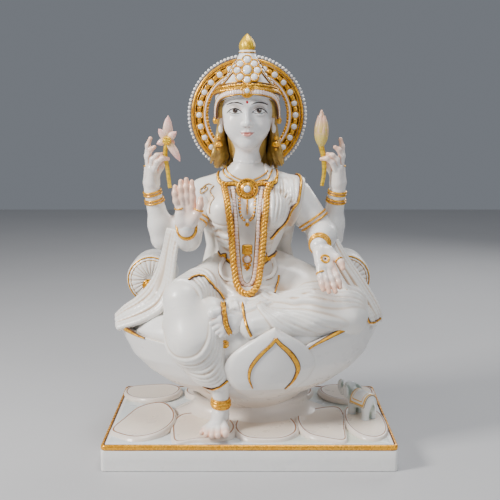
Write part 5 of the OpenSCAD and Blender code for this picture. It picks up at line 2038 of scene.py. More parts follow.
# the stone band that frames the forehead, from one gold ball beside the ear to the other
band = curve([(-45.5, -7, 480), (-45, -10, 494), (-41.5, -19, 506), (-33, -31, 513), (-18, -40.5, 516.5),
              (0, -43.0, 517.4),
              (18, -40.5, 516.5), (33, -31, 513), (41.5, -19, 506), (45, -10, 494), (45.5, -7, 480)],
              150) * v(1, 1, 1) + v(CX, 0, 0)
out_n = unit((band - v(CX, 6, 492)) * v(1, 1, 0.35))
seg = set_along("crown_forehead_stones", SEG_M, band, out_n, 43, PEARL, size=2.05, seed=8, variation=0.03)
finish_piece(seg, PEARL, "pearls")
T, S, U = frames(band, out_n)
gold = [strip("l", band + S * 3.9 - out_n * 0.6, out_n, 1.7, 1.7, 1.4),
        strip("l", band - S * 3.9 - out_n * 0.6, out_n, 1.5, 1.5, 1.4),
        strip("l", band - out_n * 1.3, out_n, 7.6, 0.8, 1.2)]
for s in (-1, 1):
    o = lathe("b", [(0.5, -5.6), (2.4, -5.0), (3.6, -2.6), (3.9, 0), (3.2, 2.8), (1.6, 4.2), (1.6, 5.0),
                    (0.5, 5.4)], 16,
              across=[1, 0.4, 0, 0, 0, 0.9, 0.3, 0])
    o.data.transform(Matrix.Translation(Vector((CX + s * 45.5, -7, 477.5)) * MM))
    gold.append(o)
finish_piece(merge("crown_forehead_gold_edges", gold), GOLD, "gilding")

# the leaf band
P, N = around(lambda a: BZ + 12.0 - 7.5 * (abs(a) / 90) ** 1.6, -112, 112, 160)
back_band = strip("leaf_band_ground", P, N, 11.5, 1.6, 1.5)
parts = [back_band]
for s, a1 in ((-1, -100), (1, 100)):
    for row, dz in ((0, 2.6), (1, -2.6)):
        P, N = around(lambda a: BZ + 12.0 + dz - 7.5 * (abs(a) / 90) ** 1.6, s * (10 + 4 * row), a1, 60, 1.2)
        parts.append(set_along("leaves", LEAF_M, P, N, 17, GOLD, size=4.0, seed=9 + row, variation=0.12))
P, N = around(lambda a: BZ + 18.6 - 7.5 * (abs(a) / 90) ** 1.6, -112, 112, 160)
parts.append(strip("l", P, N, 1.9, 1.8, 1.0))
finish_piece(merge("crown_gold_leaf_band", parts), GOLD, "gilding")

# gilded bands rising to the flower, with stones between them
parts, gems = [], []


def up_cap(az, z0, z1, n, lift=0.0):
    # a line that climbs the cap, from one azimuth and height to another
    a = np.radians(np.linspace(az[0], az[1], n))
    d = np.stack([np.sin(a), -np.cos(a), 0 * a], -1)
    pts = np.stack([np.full(n, CX), np.full(n, 3.0), np.linspace(z0, z1, n)], -1) + d * 70
    Q, N = cap_skin.drop(pts, -d, 10)
    return smooth_rows(Q, 5) + unit(smooth_rows(N, 5)) * lift, N


for s in (-1, 1):
    for az in ((88, 74), (58, 36)):
        Q, N = up_cap((s * az[0], s * az[1]), BZ + 15, BZ + 50, 70, 0.2)
        parts.append(strip("l", Q, N, 2.1, 2.0, 1.2))
    Q, N = up_cap((s * 73, s * 58), BZ + 18, BZ + 47, 50, 0.2)
    gems.append(set_along("g", TILE_M, Q, N, 6, STONE, size=2.7, seed=3))
    Q, N = up_cap((s * 72, s * 59), BZ + 21, BZ + 44, 50, 0.2)
    parts.append(set_along("g", TILE_M, Q, N, 5, GOLD, size=1.5, seed=3))
for z, w, h in ((BZ + 50, 1.8, 1.6), (BZ + 60.4, 1.6, 1.5)):
    P, N = around(lambda a: z, -180, 176, 90)
    parts.append(strip("l", P, N, w, h, 1.0, closed=True))
finish_piece(merge("crown_rising_bands", parts), GOLD, "gilding")
finish_piece(merge("crown_band_stones", gems), STONE, "stones")

# %% [markdown]
# The flower is a ring of stones in gilded bezels round a larger one, on a thin plate that leans with the
# crown. The finial is a turned bud with shallow lobes, closed at its tip.

# %% Flower jewel, forehead medallion and finial
JC = v(CX, -29.5, 546.5)
JS = 1.12
JN = unit(v(0, -0.90, 0.42))
JU = unit(v(0, 0.42, 0.90))
JX = v(1, 0, 0)


def place(ob, c, x, y, z, size=1.0):
    # moves a small model so its Z axis looks along z; a mirrored frame is never used
    M = Matrix([[x[0], y[0], z[0], 0], [x[1], y[1], z[1], 0], [x[2], y[2], z[2], 0], [0, 0, 0, 1]])
    ob.data.transform(Matrix.Translation(Vector(c) * MM) @ M @ Matrix.Scale(size, 4))
    return ob


def copy_model(m):
    o = m.copy()
    o.data = m.data.copy()
    o.hide_render = False
    bpy.context.scene.collection.objects.link(o)
    return o


disc = place(lathe("disc", [(4, -7), (14.5, -6), (15.6, -2.5), (15.0, -0.6), (10, 0.4), (4, 0.8)], 40,
                   across=[0.2, 0.2, 0.2, 0.3, 0.9, 0.4]),
             JC, JX, JU, JN, JS)
oval = lathe("oval", [(7.6, -1), (8.0, 0.5), (7.2, 2.6), (6.2, 3.0), (5.6, 2.2)], 32,
             across=[1, 0.9, 0.1, 0.2, 1.0], flat=1.18)
parts = [disc, place(oval, JC, JX, JU, JN, JS)]
g = [place(lathe("g", [(5.6, 0), (5.6, 2.4), (4.9, 3.6), (3.2, 4.5), (1.2, 4.8)], 28,
                 across=[1, 0.9, 0.5, 0, 0], flat=1.18), JC, JX, JU, JN, JS)]
for i in range(8):
    a = math.radians(90 + 45 * i)
    up = i == 0
    r, q = (12.4 * JS, 4.7 * JS) if not up else (14.4 * JS, 5.2 * JS)
    c = JC + JX * math.cos(a) * r + JU * math.sin(a) * r * 1.02
    parts.append(place(copy_model(BEZEL_M), c, JX, JU, JN, q))
    g.append(place(copy_model(GEM_M), c, JX, JU, JN, q))
finish_piece(merge("crown_flower_jewel_gold", parts), GOLD, "gilding", "crown_jewel")
finish_piece(merge("crown_flower_jewel_stones", g), STONE, "stones")
MC = v(CX, -42.5, BZ + 6.5)
MN, MU = unit(v(0, -1, 0.06)), unit(v(0, 0.06, 1))
med = [place(lathe("m", [(4, -4), (9.4, -3.4), (10.0, -1.0), (9.4, 1.0), (8.2, 1.3), (7.2, 0.5),
                         (5.6, 0.9), (4.9, 2.4), (3.9, 2.5), (3.5, 1.2)],
                   36, across=[1, 1, 0.9, 0.1, 0.3, 1, 0.9, 0.1, 0.3, 1]), MC, JX, MU, MN)]
for i in range(16):
    a = 2 * math.pi * i / 16
    o = place(copy_model(PEARL_M), MC + JX * 6.7 * math.cos(a) + MU * 6.7 * math.sin(a) + MN * 1.0, JX, MU,
              MN, 1.05)
    med.append(o)
finish_piece(merge("forehead_medallion_gold", med), GOLD, "gilding")
finish_piece(place(copy_model(GEM_M), MC + MN * 1.5, JX, MU, MN, 3.6), STONE,
             "stones").name = "forehead_medallion_stone"
FZ = lo("crown_finial")[2]
n = 96
a = np.linspace(0, 2 * math.pi, n, endpoint=False)
prof = [(5.0, -1.5), (8.0, 0.4), (10.6, 3.4), (11.6, 7.2), (11.4, 11.0), (10.0, 15.0), (7.8, 18.8),
        (5.2, 22.2), (2.6, 25.0), (0.6, 26.7)]
rings, ca = [], []
for i, (r, z) in enumerate(prof):
    lob = np.abs(np.sin(4 * (a + 0.03 * z)))
    rings.append(np.stack([CX + r * (0.93 + 0.09 * lob) * np.cos(a),
                           8 + r * (0.93 + 0.09 * lob) * np.sin(a), np.full(n, FZ + z)], -1))
    # painted shade in the grooves between the bud's lobes
    ca.append(np.clip(1.0 - lob * 2.4, 0, 1) * (0.9 if i < 8 else 0.3))
rings = np.array(rings)
fin = loft("crown_finial_bud", rings, attrs={"cavity_shade": np.array(ca), "across": 0.0})
finish_piece(fin, YELLOW, "gilding", "crown_finial")
print("crown done, %.1f s" % (time.time() - T0))

# %% [markdown]
# The ornaments on the body are cut in relief and gilded: a collar with a disc at the throat, a long
# garland of twisted rope that hangs to the lap, a string of rose pearls inside it, a short necklace, a
# plaque with a stone, and a girdle. Each is laid on the finished body by rays cast from the front, so it
# follows the folds below it.

# %% Collar, disc and shoulder gilding
BODY = Skin([trunk_ob, pallu_ob])
ALL = Skin([trunk_ob, pallu_ob, lap_ob, leg_ob])


def lay(skin, pts, n, lift=0.0, soft=6, direction=(0, 1, 0), base_y=-150.0, rel=True):
    # pts are (x, z) on the front of the figure; x counts from its axis when rel is set
    p = curve([(x, z) for x, z in pts], n)
    P = np.stack([p[:, 0] + (CX if rel else 0.0), np.full(n, base_y), p[:, 1]], -1)
    Q, N = skin.drop(P, direction, 30)
    Q[:, 1] = smooth_rows(Q[:, 1:2], soft)[:, 0]
    N = unit(smooth_rows(N, soft))
    return Q + N * lift, N


def hang(Q):
    # a string on the body touches it only where the body stands forward, and hangs straight between
    Q = Q.copy()
    m = len(Q) // 2
    for part in (slice(0, m + 1), slice(m, len(Q))):
        q = Q[part]
        s = np.concatenate([[0], np.cumsum(np.linalg.norm(np.diff(q, axis=0), axis=1))])
        hull = []
        for i in range(len(q)):
            while len(hull) > 1 and ((s[hull[-1]] - s[hull[-2]]) * (q[i, 1] - q[hull[-2], 1])
                                     - (q[hull[-1], 1] - q[hull[-2], 1]) * (s[i] - s[hull[-2]])) <= 0:
                hull.pop()
            hull.append(i)
        q[:, 1] = np.interp(s, s[hull], q[hull, 1])
        Q[part] = q
    Q[:, 1] = smooth_rows(Q[:, 1:2], 8)[:, 0]
    return Q


def both(pts):
    return [(-x, z) for x, z in pts[::-1]] + [(x, z) for x, z in (pts if pts[0][0] > 0 else pts[1:])]


parts = []
neck_ring = curve([(CX, -27.5, 393.6), (CX + 17, -22.5, 396.5), (CX + 29, -8, 404.5), (CX + 27, 12, 410),
                   (CX, 26, 412), (CX - 27, 12, 410),
                   (CX - 29, -8, 404.5), (CX - 17, -22.5, 396.5)], 120, closed=True)
for gx, dz, w in ((1.0, 0, 2.3), (1.17, -2.5, 2.6)):
    base = (neck_ring - v(CX, 0, 0)) * v(gx, gx, 1) + v(CX, -2.0 * (gx > 1), dz)
    Q, N = hug(BODY, base[::5], 140, 0.0, 10, closed=True)
    parts.append(strip("l", Q, N, w, 1.5, 1.4, closed=True))
# outer edge of the collar, which widens to meet the disc
for s in (-1, 1):
    Q, N = hug(BODY, [(CX + s * 43.5, 4, 408), (CX + s * 44.5, -6, 403), (CX + s * 43.5, -14, 396),
                      (CX + s * 39.5, -22, 390), (CX + s * 33, -29, 385.5)],
               50, 0.3)
    parts.append(strip("l", Q, N, np.linspace(2.6, 6.5, 50), 1.8, 1.6))
Q, N = lay(BODY, both([(0, 384.5), (10, 385.5), (20, 387), (31, 386.5), (37, 388)]), 90, 0.2)
parts.append(strip("l", Q, N, 7.5, 1.8, 1.8))
leafs = []
for s in (-1, 1):
    Q, N = lay(BODY, [(s * 14, 386), (s * 24, 387), (s * 36, 389.5), (s * 43, 397)], 40, 2.2)
    leafs.append(set_along("leaves", LEAF_M, Q, N, 8, GOLD, size=2.9, seed=31, variation=0.15))
finish_piece(merge("collar_gold_edges", parts + leafs), GOLD, "gilding")

DC = lay(BODY, [(-0.1, 380.2), (0, 380), (0.1, 379.8)], 3)[0][1] + v(0, -3.4, 0)
DN, DU = unit(v(0, -1, 0.10)), unit(v(0, 0.10, 1))
disc = [place(lathe("disc", [(6, -6), (14.6, -5), (16.0, -1.2), (15.4, 0.6), (13.9, 0.9), (13.0, 0.1),
                             (9.8, 0.1), (9.0, 0.9), (7.6, 1.1),
                             (6.9, 2.6), (5.9, 2.8), (5.3, 1.6)], 48,
                             across=[1, 1, 0.9, 0.1, 0.3, 1, 0.6, 0.2, 0.9, 0.1, 0.2, 1]), DC, JX, DU, DN)]
for i in range(18):
    a = 2 * math.pi * i / 18
    disc.append(place(copy_model(LEAF_M), DC + JX * 11.6 * math.cos(a) + DU * 11.6 * math.sin(a) + DN * 0.5,
                      JX * -math.sin(a) + DU * math.cos(a), -(JX * math.cos(a) + DU * math.sin(a)), DN, 1.9))
finish_piece(merge("collar_disc_gold", disc), GOLD, "gilding", "collar_disc")
finish_piece(place(copy_model(GEM_M), DC + DN * 1.7, JX, DU, DN, 5.2), STONE,
             "stones").name = "collar_disc_stone"

# %% [markdown]
# The garland hangs as a twisted cord from the shoulders to the lap and bridges the hollow between the
# breasts. Its path is therefore a taut line over the body, and the strand of pearls runs inside it in the
# same way.

# %% Rope garland, pearl strand, short necklace and chain
a = np.linspace(0, 2 * math.pi, 30, endpoint=False)
lobe = np.abs(np.cos(1.5 * a))
sec = path_object(np.stack([5.1 * (0.74 + 0.26 * lobe) * np.cos(a), 5.1 * (0.74 + 0.26 * lobe) * np.sin(a),
                            0 * a], -1), closed=True)
sec.name = "rope_section"
# painted shade in the grooves between the rope's lobes
set_attr(sec, "cavity_shade", np.clip(1.25 - 2.3 * lobe, 0, 1))
set_attr(sec, "across", 0 * a)
model(sec)
RP, _ = lay(ALL, both([(0, 233.8), (7.5, 237), (13.5, 245), (16.8, 257), (18.5, 272), (20.0, 290),
                       (22.0, 310), (25.5, 340), (29, 366),
                       (33.0, 384)]), 260, 2.6, soft=26)
RP = hang(RP)
rope = rope_along("rope_garland_twist", sec, RP, 21, 420, GOLD)
finish_piece(rope, GOLD, "gilding", "rope_garland")
PP, PN = lay(ALL, both([(0, 244.6), (6.0, 248), (9.6, 256), (11.6, 270), (13.2, 290), (14.4, 310),
                        (17.0, 340), (19.5, 366), (20.5, 380)]),
             200, 1.6, soft=16)
PP, PN = hang(PP), unit(PN * v(0.6, 1, 0.35))
pearls = set_along("rose_pearl_strand", TILE_M, PP, PN, 60, PEARL, size=2.45, seed=12, variation=0.06)
finish_piece(pearls, PEARL, "pearls", "pearl_strand")
T, S, U = frames(PP, PN)
trim_lines = [strip("l", PP - U * 1.4, PN, 7.4, 0.9, 1.6)]
finish_piece(merge("pearl_strand_gold_edges", trim_lines), SOFT_GOLD, "gilding")
NP, NN = lay(BODY, both([(0, 334.3), (5.5, 337), (9.5, 343), (11.2, 352), (11.6, 366)]), 120, 1.0, soft=10)
nb = set_along("necklace_gold", TILE_M, NP, NN, 17, GOLD, size=2.05, seed=13, variation=0.1)
cuts = []
for xz, r in (((0, 335.0), 2.5), ((0, 329.4), 2.9)):
    q, n = lay(BODY, [(-0.1, xz[1]), (0, xz[1]), (0.1, xz[1])], 3, 1.5)
    cuts.append(place(copy_model(PEARL_M), q[1], JX, v(0, 0, 1), v(0, -1, 0), r))
CP, CN = lay(BODY, [(0, 364), (0, 356), (0, 345)], 30, 0.8)
ch = set_along("chain", PEARL_M, CP, CN, 9, GOLD, size=1.15, seed=14, variation=0.2)
finish_piece(merge("short_necklace_and_chain", [nb, ch, cuts[1]]), GOLD, "gilding", "bead_necklace")
NPt, NNt = NP[3:-3], NN[3:-3]
finish_piece(merge("short_necklace_pearls", [set_along("p", PEARL_M, NPt, NNt, 16, WHITE_PEARL, size=1.15,
                                                       seed=15), cuts[0]]), WHITE_PEARL, "pearls")

# %% [markdown]
# A square plaque with a rose stone closes the strand, and a tassel of beads ends the garland. The girdle
# is a flat gilded band, wider at the front, that lies on the waist.

# %% Plaque, tassel and girdle
WP = mid("waist_pendant")
PCn, _ = lay(ALL, [(-0.1, 295), (0, 294), (0.1, 293)], 3)
WC = v(CX, min(PCn[1][1] - 2.6, WP[1] + 3), 0)
pl = []
o = block("plaque", 7.6, 7.4, 2.6, power=7, n=32)
pl.append(place(o, WC + v(0, 0, 295.5), JX, v(0, 0, 1), v(0, -1, 0)))
for dx, dz in ((-3.4, 3.4), (0, 3.8), (3.4, 3.4), (-3.8, 0), (3.8, 0), (-3.0, -3.2), (3.0, -3.2)):
    pl.append(place(copy_model(LEAF_M), WC + v(dx, -2.2, 295.8 + dz), unit(v(dx, 0, dz)),
                    unit(np.cross(v(0, -1, 0), unit(v(dx, 0, dz)))),
                    v(0, -1, 0), 1.9))
pl.append(place(copy_model(PEARL_M), WC + v(0, -2.6, 296), JX, v(0, 0, 1), v(0, -1, 0), 2.0))
pl.append(place(copy_model(BEZEL_M), WC + v(0, -0.8, 281.5), JX, v(0, 0, 1), v(0, -1, 0), 5.4))
for dx, dz, r in ((-3.6, 273.0, 2.3), (3.6, 273.0, 2.3), (0, 271.0, 2.6), (0, 266.6, 2.0),
                  (-2.6, 268.8, 1.6), (2.6, 268.8, 1.6)):
    pl.append(place(copy_model(PEARL_M), WC + v(dx, -0.6, dz), JX, v(0, 0, 1), v(0, -1, 0), r))
finish_piece(merge("waist_plaque_gold", pl), GOLD, "gilding", "waist_pendant")
finish_piece(place(copy_model(GEM_M), WC + v(0, -0.8, 281.5), JX, v(0, 0, 1), v(0, -1, 0), 5.3), PEARL,
             "stones").name = "waist_plaque_rose_stone"
ts, tp = [], []
rng = np.random.default_rng(5)
ty = RP[len(RP) // 2][1] - 1
for row, (z, k, r) in enumerate(((229.5, 3, 2.6), (225.5, 4, 2.4), (221.6, 3, 2.6), (218.2, 2, 2.2))):
    for i in range(k):
        x = (i - (k - 1) / 2) * 3.9
        (tp if (i + row) % 3 == 1 else ts).append(place(copy_model(PEARL_M),
                                                        v(CX + x, ty - 1.5 - 0.8 * row + abs(x) * 0.2, z),
                                                        JX, v(0, 0, 1),
                                                        v(0, -1, 0), r))
finish_piece(merge("garland_tassel_gold", ts), GOLD, "gilding", "garland_tassel")
finish_piece(merge("garland_tassel_pearls", tp), WHITE_PEARL, "pearls")
bp = []
for s in (-1, 1):
    Q, N = lay(ALL, [(s * 20, 271.5), (s * 28, 275.5), (s * 35, 280), (s * 41, 284.5)], 40, 0.9)
    N = unit(smooth_rows(N, 10) + v(0, -0.6, 0))
    bp.append(strip("b", smooth_rows(Q, 4), N, np.linspace(12.5, 5.0, 40), 2.6, 4.0))
a = np.radians(np.linspace(52, 308, 90))
d = np.stack([np.sin(a), -np.cos(a), 0 * a], -1)
zz = 276 + 6 * np.clip((np.abs(np.degrees(a) - 180) / 128), 0, 1) ** 2
Q, N = Skin([trunk_ob]).drop(np.stack([np.full(90, CX), np.full(90, 8.0), zz], -1) + d * 70, -d, 10, 0.2)
bp.append(strip("b", smooth_rows(Q, 3), N, 8, 2.0, 2.0))
finish_piece(merge("belt_gilded", bp), GOLD, "gilding", "belt")

# %% [markdown]
# The borders are lines of gold leaf on a low ridge, edged in brown by brush. Each is a narrow strip
# dropped on the cloth along a few listed points.

# %% Gilded borders of the sari
gb = []
LAPS = Skin([lap_ob, leg_ob])
Q, N = lay(LAPS, [(-84, 258.5), (-78, 261), (-70, 262), (-62, 259.5), (-55, 253), (-48, 243.5),
                  (-41, 234.5), (-35.5, 227.0)],
           90, 0.4, rel=False)
gb.append(strip("b", Q, N, 3.6, 2.4, 1.4))
Q, N = lay(LAPS, [(42.9, 255.5), (42.4, 250), (41, 245), (38.5, 240), (36, 235.5)], 50, 0.4, rel=False)
gb.append(strip("b", Q, N, 3.0, 2.2, 1.4))
Q, N = lay(LAPS, [(-10.5, 230), (-8.5, 220), (-6, 209.5), (-2, 198), (2.7, 187.5)], 60, 0.4, rel=False)
gb.append(strip("b", Q, N, 4.2, 2.4, 1.6))
Q, N = lay(Skin([leg_ob, lap_ob]), [(-64, 112), (-57, 107), (-51, 107.5), (-43, 112), (-35, 117.5),
                                    (-29, 121)], 60, 0.3, rel=False)
gb.append(strip("b", Q, N, 3.6, 2.2, 1.6))
finish_piece(merge("sari_borders", gb), GOLD, "gilding", "sari_gold_borders")

# the border of the pallu, the paisley and the sleeve line on the other shoulder
PB, PBN = hug(Skin([pallu_ob]), [(70, 12, 402), (74, 0, 398), (75, -12, 390), (73, -22, 378),
                                 (71.5, -30, 364), (69, -36, 351), (66, -40, 340),
                                 (62.5, -42, 329), (57, -42, 318), (51, -40, 309), (44, -38, 302),
                                 (37, -36, 297)], 130, 0.0, soft=5)
PB = smooth_rows(PB, 24) + PBN * 0.9
tr2 = [strip("b", PB, unit(smooth_rows(PBN, 20) + v(0, -0.7, 0)), 4.4, 2.2, 2.8)]
finish_piece(merge("pallu_gold_border", tr2), GOLD, "gilding")
PY = [(-56, 391), (-60, 394.5), (-65, 393), (-69, 387), (-70.5, 380), (-68, 376.5), (-63.5, 379),
      (-61.5, 384), (-63.5, 388), (-66.5, 386.5), (-66, 383)]
Q, N = hug(Skin([trunk_ob, arm_fr]), [(x, -24, z) for x, z in PY], 90, 0.25, soft=2)
sl_ = [strip("b", Q, N, 1.7, 1.2, 1.0)]
Q, N = hug(Skin([trunk_ob]), [(-52, -20, 387), (-57, -26, 381), (-60, -30, 373), (-61, -34, 364),
                              (-60, -36, 354), (-58, -36, 346)], 60, 0.2, soft=8)
sl_.append(strip("b", Q, N, 1.5, 1.0, 1.0))
# loops of the sash under the girdle
for pts in ([(-38.5, 274), (-41.5, 269), (-41.8, 262), (-38.5, 255.5), (-33, 251.8), (-25, 251)],
            [(36.5, 271), (37.5, 265), (35, 258), (30, 253.5), (22, 251.5)]):
    for off, w in ((0.0, 1.6),):
        Q, N = lay(ALL, pts, 60, 0.4, rel=False)
        T, S, U = frames(Q, N)
        sl_.append(strip("b", Q + S * 2.6, N, w, 1.6, 1.4))
        sl_.append(strip("b", Q - S * 2.6, N, w, 1.6, 1.4))
finish_piece(merge("soft_gold_lines", sl_), SOFT_GOLD, "gilding")
sash = []
for pts in ([(-36, 279), (-38.5, 274), (-41.5, 269), (-41.8, 262), (-38.5, 255.5), (-33, 251.8),
             (-22, 250.5)],
            [(33, 278), (36.5, 271), (37.5, 265), (35, 258), (30, 253.5), (19, 251)]):
    Q, N = lay(ALL, pts, 60, 0.8, rel=False)
    o = rod("s", Q, 3.4, 12, N, False, 0.75)
    set_attr(o, "cavity_shade", np.zeros(len(o.data.vertices)))
    sash.append(o)
finish_piece(merge("sash_loops", sash), DRAPE, "marble")

# %% [markdown]
# Small gilded ornaments: a leafed band over the folded foot, two ring charms, a ringed dot in the open
# palm and the drops under the ears. They lie on the finished surface, so they are placed by dropping
# rings on it.

# %% Hem band over the folded foot, toe ornaments, palm mark, earrings
Q, N = lay(Skin([foot_l, lap_ob]), [(-35.8, 230.5), (-35.4, 222), (-34.2, 214.4), (-31.5, 202),
                                    (-27, 191.5)], 70, 0.6, rel=False)
Q[:, 1] = np.minimum(Q[:, 1], np.interp(Q[:, 2], [190, 231], [-112, -99]))
pleat = strip("hem", Q, N, 8.2, 3.2, 4.5)
hem = [pleat]
T, S, U = frames(Q, N)
for k in (-2.0, 2.0):
    hem.append(set_along("l", LEAF_M, Q + S * k + U * 3.0, N, 13, GOLD, size=2.1, seed=41))
finish_piece(merge("left_foot_gold_hem", hem), GOLD, "gilding", "left_anklet")
toe_r = []
for c, r in (((-33.6, -112, 173.5), 4.6), ((-27.6, -114, 163.0), 4.2)):
    q, n = LAPS.drop([c], (0, 1, 0), 40)
    q = q[0] + v(0, -1.2, 0)
    for rr, tt in ((r, 1.3), (r * 0.45, 1.2)):
        a = np.linspace(0, 2 * math.pi, 28, endpoint=False)
        P = q + np.stack([rr * np.cos(a), -0.4 + 0 * a, rr * np.sin(a)], -1)
        o = rod("t", P, tt, 8, None, True)
        set_attr(o, "cavity_shade", np.zeros(len(o.data.vertices)))
        set_attr(o, "across", np.zeros(len(o.data.vertices)))
        toe_r.append(o)
finish_piece(merge("gold_charms_below_foot", toe_r), GOLD, "gilding")
pm = []
PMc, PMn = Skin([hand_fl]).drop([WR_L + v(6.5, -30, -15)], (0, 1, 0), 40)
pn = unit(PMn[0] + v(0, -0.8, 0))
pu = unit(np.cross(pn, JX) * -1)
if pu[2] < 0:
    pu = -pu
px = unit(np.cross(pu, pn))
for rr, tt in ((6.0, 1.15), (4.4, 0.75)):
    a = np.linspace(0, 2 * math.pi, 36, endpoint=False)
    P = PMc[0] + pn * 0.1 + rr * (np.cos(a)[:, None] * px + np.sin(a)[:, None] * pu)
    P = Skin([hand_fl]).near(P, 0.1)[0]
    o = rod("t", P, tt, 8, None, True)
    set_attr(o, "across", np.zeros(len(o.data.vertices)))
    set_attr(o, "cavity_shade", np.zeros(len(o.data.vertices)))
    pm.append(o)
pm.append(place(lathe("d", [(1.5, -0.8), (1.9, 0), (1.3, 0.8), (0.4, 1.1)], 16, across=[1, 1, 0.9, 0.9]),
                PMc[0], px, pu, pn))
finish_piece(merge("palm_mark", pm), GOLD, "gilding")
er = []
for s in (-1, 1):
    c = v(CX + s * 41.5, -5, 0)
    prof = [(0.5, 433.8), (1.7, 434.6), (2.3, 436.4), (1.6, 438.0), (3.2, 438.6), (5.0, 440.4),
            (5.4, 443.0), (4.6, 445.6), (2.4, 447.4),
            (1.5, 448.4), (2.6, 449.4), (3.4, 451.4), (2.6, 453.6), (1.2, 455.0), (0.6, 456.6)]
    o = lathe("e", prof, 24, across=[0, 0, 0, 1, 0.9, 0.2, 0, 0.2, 0.9, 1, 0.2, 0, 0.3, 0.9, 0])
    o.data.transform(Matrix.Translation(Vector(c) * MM))
    er.append(o)
    for i in range(8):
        a = 2 * math.pi * i / 8
        er.append(place(copy_model(PEARL_M), c + v(4.9 * math.cos(a), 4.9 * math.sin(a), 441.6), JX,
                        v(0, 1, 0), v(0, 0, 1), 1.25))
finish_piece(merge("ear_drops", er), GOLD, "gilding", "earrings")
print("jewels done, %.1f s" % (time.time() - T0))

# %% [markdown]
# Two round bolsters stand behind the lap, each a cylinder with pleated ends drawn in to a gilded rosette.
# The long shawl leaves the arms on both sides in parallel folds and spills over the petals.

# %% Bolsters
for side, nm in ((-1, "right"), (1, "left")):
    B0, B1 = lo(nm + "_bolster"), hi(nm + "_bolster")
    bc, br = (B0 + B1) / 2, (B1[0] - B0[0]) / 2
    n = 180
    a = np.linspace(0, 2 * math.pi, n, endpoint=False)
    prof = [(0.12, 0.0, 0), (0.20, -0.8, 1.0), (0.34, -2.6, 1.0), (0.55, -3.2, 0.9), (0.76, -2.2, 0.6),
            (0.90, 0.5, 0.3), (0.975, 4, 0.05), (1.0, 9, 0),
            (1.0, 40, 0), (1.0, 68, 0), (0.97, 73, 0), (0.88, 76, 0.3), (0.6, 77, 0.8), (0.2, 76, 1.0),
            (0.1, 75.4, 0)]
    rings, shade_mask = [], []
    for r, y, pl_ in prof:
        pleat_ = np.abs(np.sin(12 * a + 0.35 * np.sin(5 * a)))
        dy = pl_ * (1.0 - pleat_ ** 0.7) * 1.7 * (1 if y < 40 else -1)
        rings.append(np.stack([bc[0] + br * r * np.cos(a), B0[1] + 3.4 + y * 0.93 + dy,
                               bc[2] + br * r * np.sin(a)], -1))
        # painted shade in the valleys of the pleats
        shade_mask.append(np.clip(1 - pleat_ * 1.6, 0, 1) * pl_ * 0.9)
    ob = loft(nm + "_bolster_cushion", np.array(rings), attrs={"cavity_shade": np.array(shade_mask)})
    finish_piece(ob, DRAPE, "marble", nm + "_bolster")
    tor = []
    for r, y, w in ((0.915, 1.8, 2.4), (0.80, 0.1, 1.2)):
        P = np.stack([bc[0] + br * r * np.cos(a), np.full(n, B0[1] + 3.0 + y), bc[2] + br * r * np.sin(a)],
                     -1)
        out = np.stack([np.cos(a) * 0.5, -np.ones(n), np.sin(a) * 0.5], -1)
        tor.append(strip("l", P, out, w, 1.6, 1.6, closed=True))
    if side < 0:
        bol_r = tor
    else:
        bol_l = tor
finish_piece(merge("bolster_gold_rims", bol_r + bol_l), GOLD, "gilding")
ro = []
M0, M1 = lo("bolster_medallions"), hi("bolster_medallions")
for nm, cx in (("right", (M0[0] + 10)), ("left", (M1[0] - 10))):
    c = v(cx, M0[1] + 2.5, (M0[2] + M1[2]) / 2)
    for k in range(3):
        r = (9.0, 6.2, 3.4)[k]
        ro.append(place(lathe("r", [(r * 0.4, -2.5), (r, -2.0), (r * 1.05, -0.4), (r * 0.9, 0.7),
                                    (r * 0.6, 0.8), (r * 0.45, 0.2)], 28,
                              across=[1, 1, 0.9, 0.1, 0.3, 1]), c + v(0, -1.3 * k, 0), JX, v(0, 0, 1),
                              v(0, -1, 0)))
    for i in range(10):
        a_ = 2 * math.pi * i / 10
        d_ = v(math.cos(a_), 0, math.sin(a_))
        ro.append(place(copy_model(LEAF_M), c + d_ * 8.2 + v(0, -0.9, 0), d_,
                        unit(np.cross(v(0, -1, 0), d_)), v(0, -1, 0), 2.3))
finish_piece(merge("bolster_rosettes", ro), GOLD, "gilding", "bolster_medallions")

# %% [markdown]
# The shawl falls from the right forearm and spreads on the petal. It is made of soft folds side by side
# between two edges, so it thins at its hem and keeps folds on both faces.

# %% The shawl over her right arm, spilling on the petal
RS = Clay((-206, -66, 172), (-84, 34, 336), 1.25)
g1 = [(-97, -40, 320), (-103, -42, 292), (-107, -43, 258), (-111, -45, 230), (-124, -50, 206),
      (-156, -50, 189), (-188, -42, 179)]
g2 = [(-120, -20, 322), (-126, -12, 292), (-135, -8, 260), (-149, -4, 234), (-167, 2, 215),
      (-186, 10, 201), (-199, 16, 188)]
RS.cloth(g1, g2, 7, seed=51, fat=0.56, wander=0.25)
RS.limb((-110, -24, 314), 6, (-120, -20, 268), 6, 2)
RS.limb((-120, -20, 268), 6, (-134, -18, 226), 8, 2)
RS.limb((-134, -20, 224), 8, (-162, -12, 198), 6, 2)
rs_ob = RS.mesh("right_shawl_spill")
finish_piece(rs_ob, DRAPE, "marble", "right_shawl_fall")

# %% [markdown]
# The other end of the shawl comes down past the left hand and over the petal's rim, made in the same way
# with fewer folds.

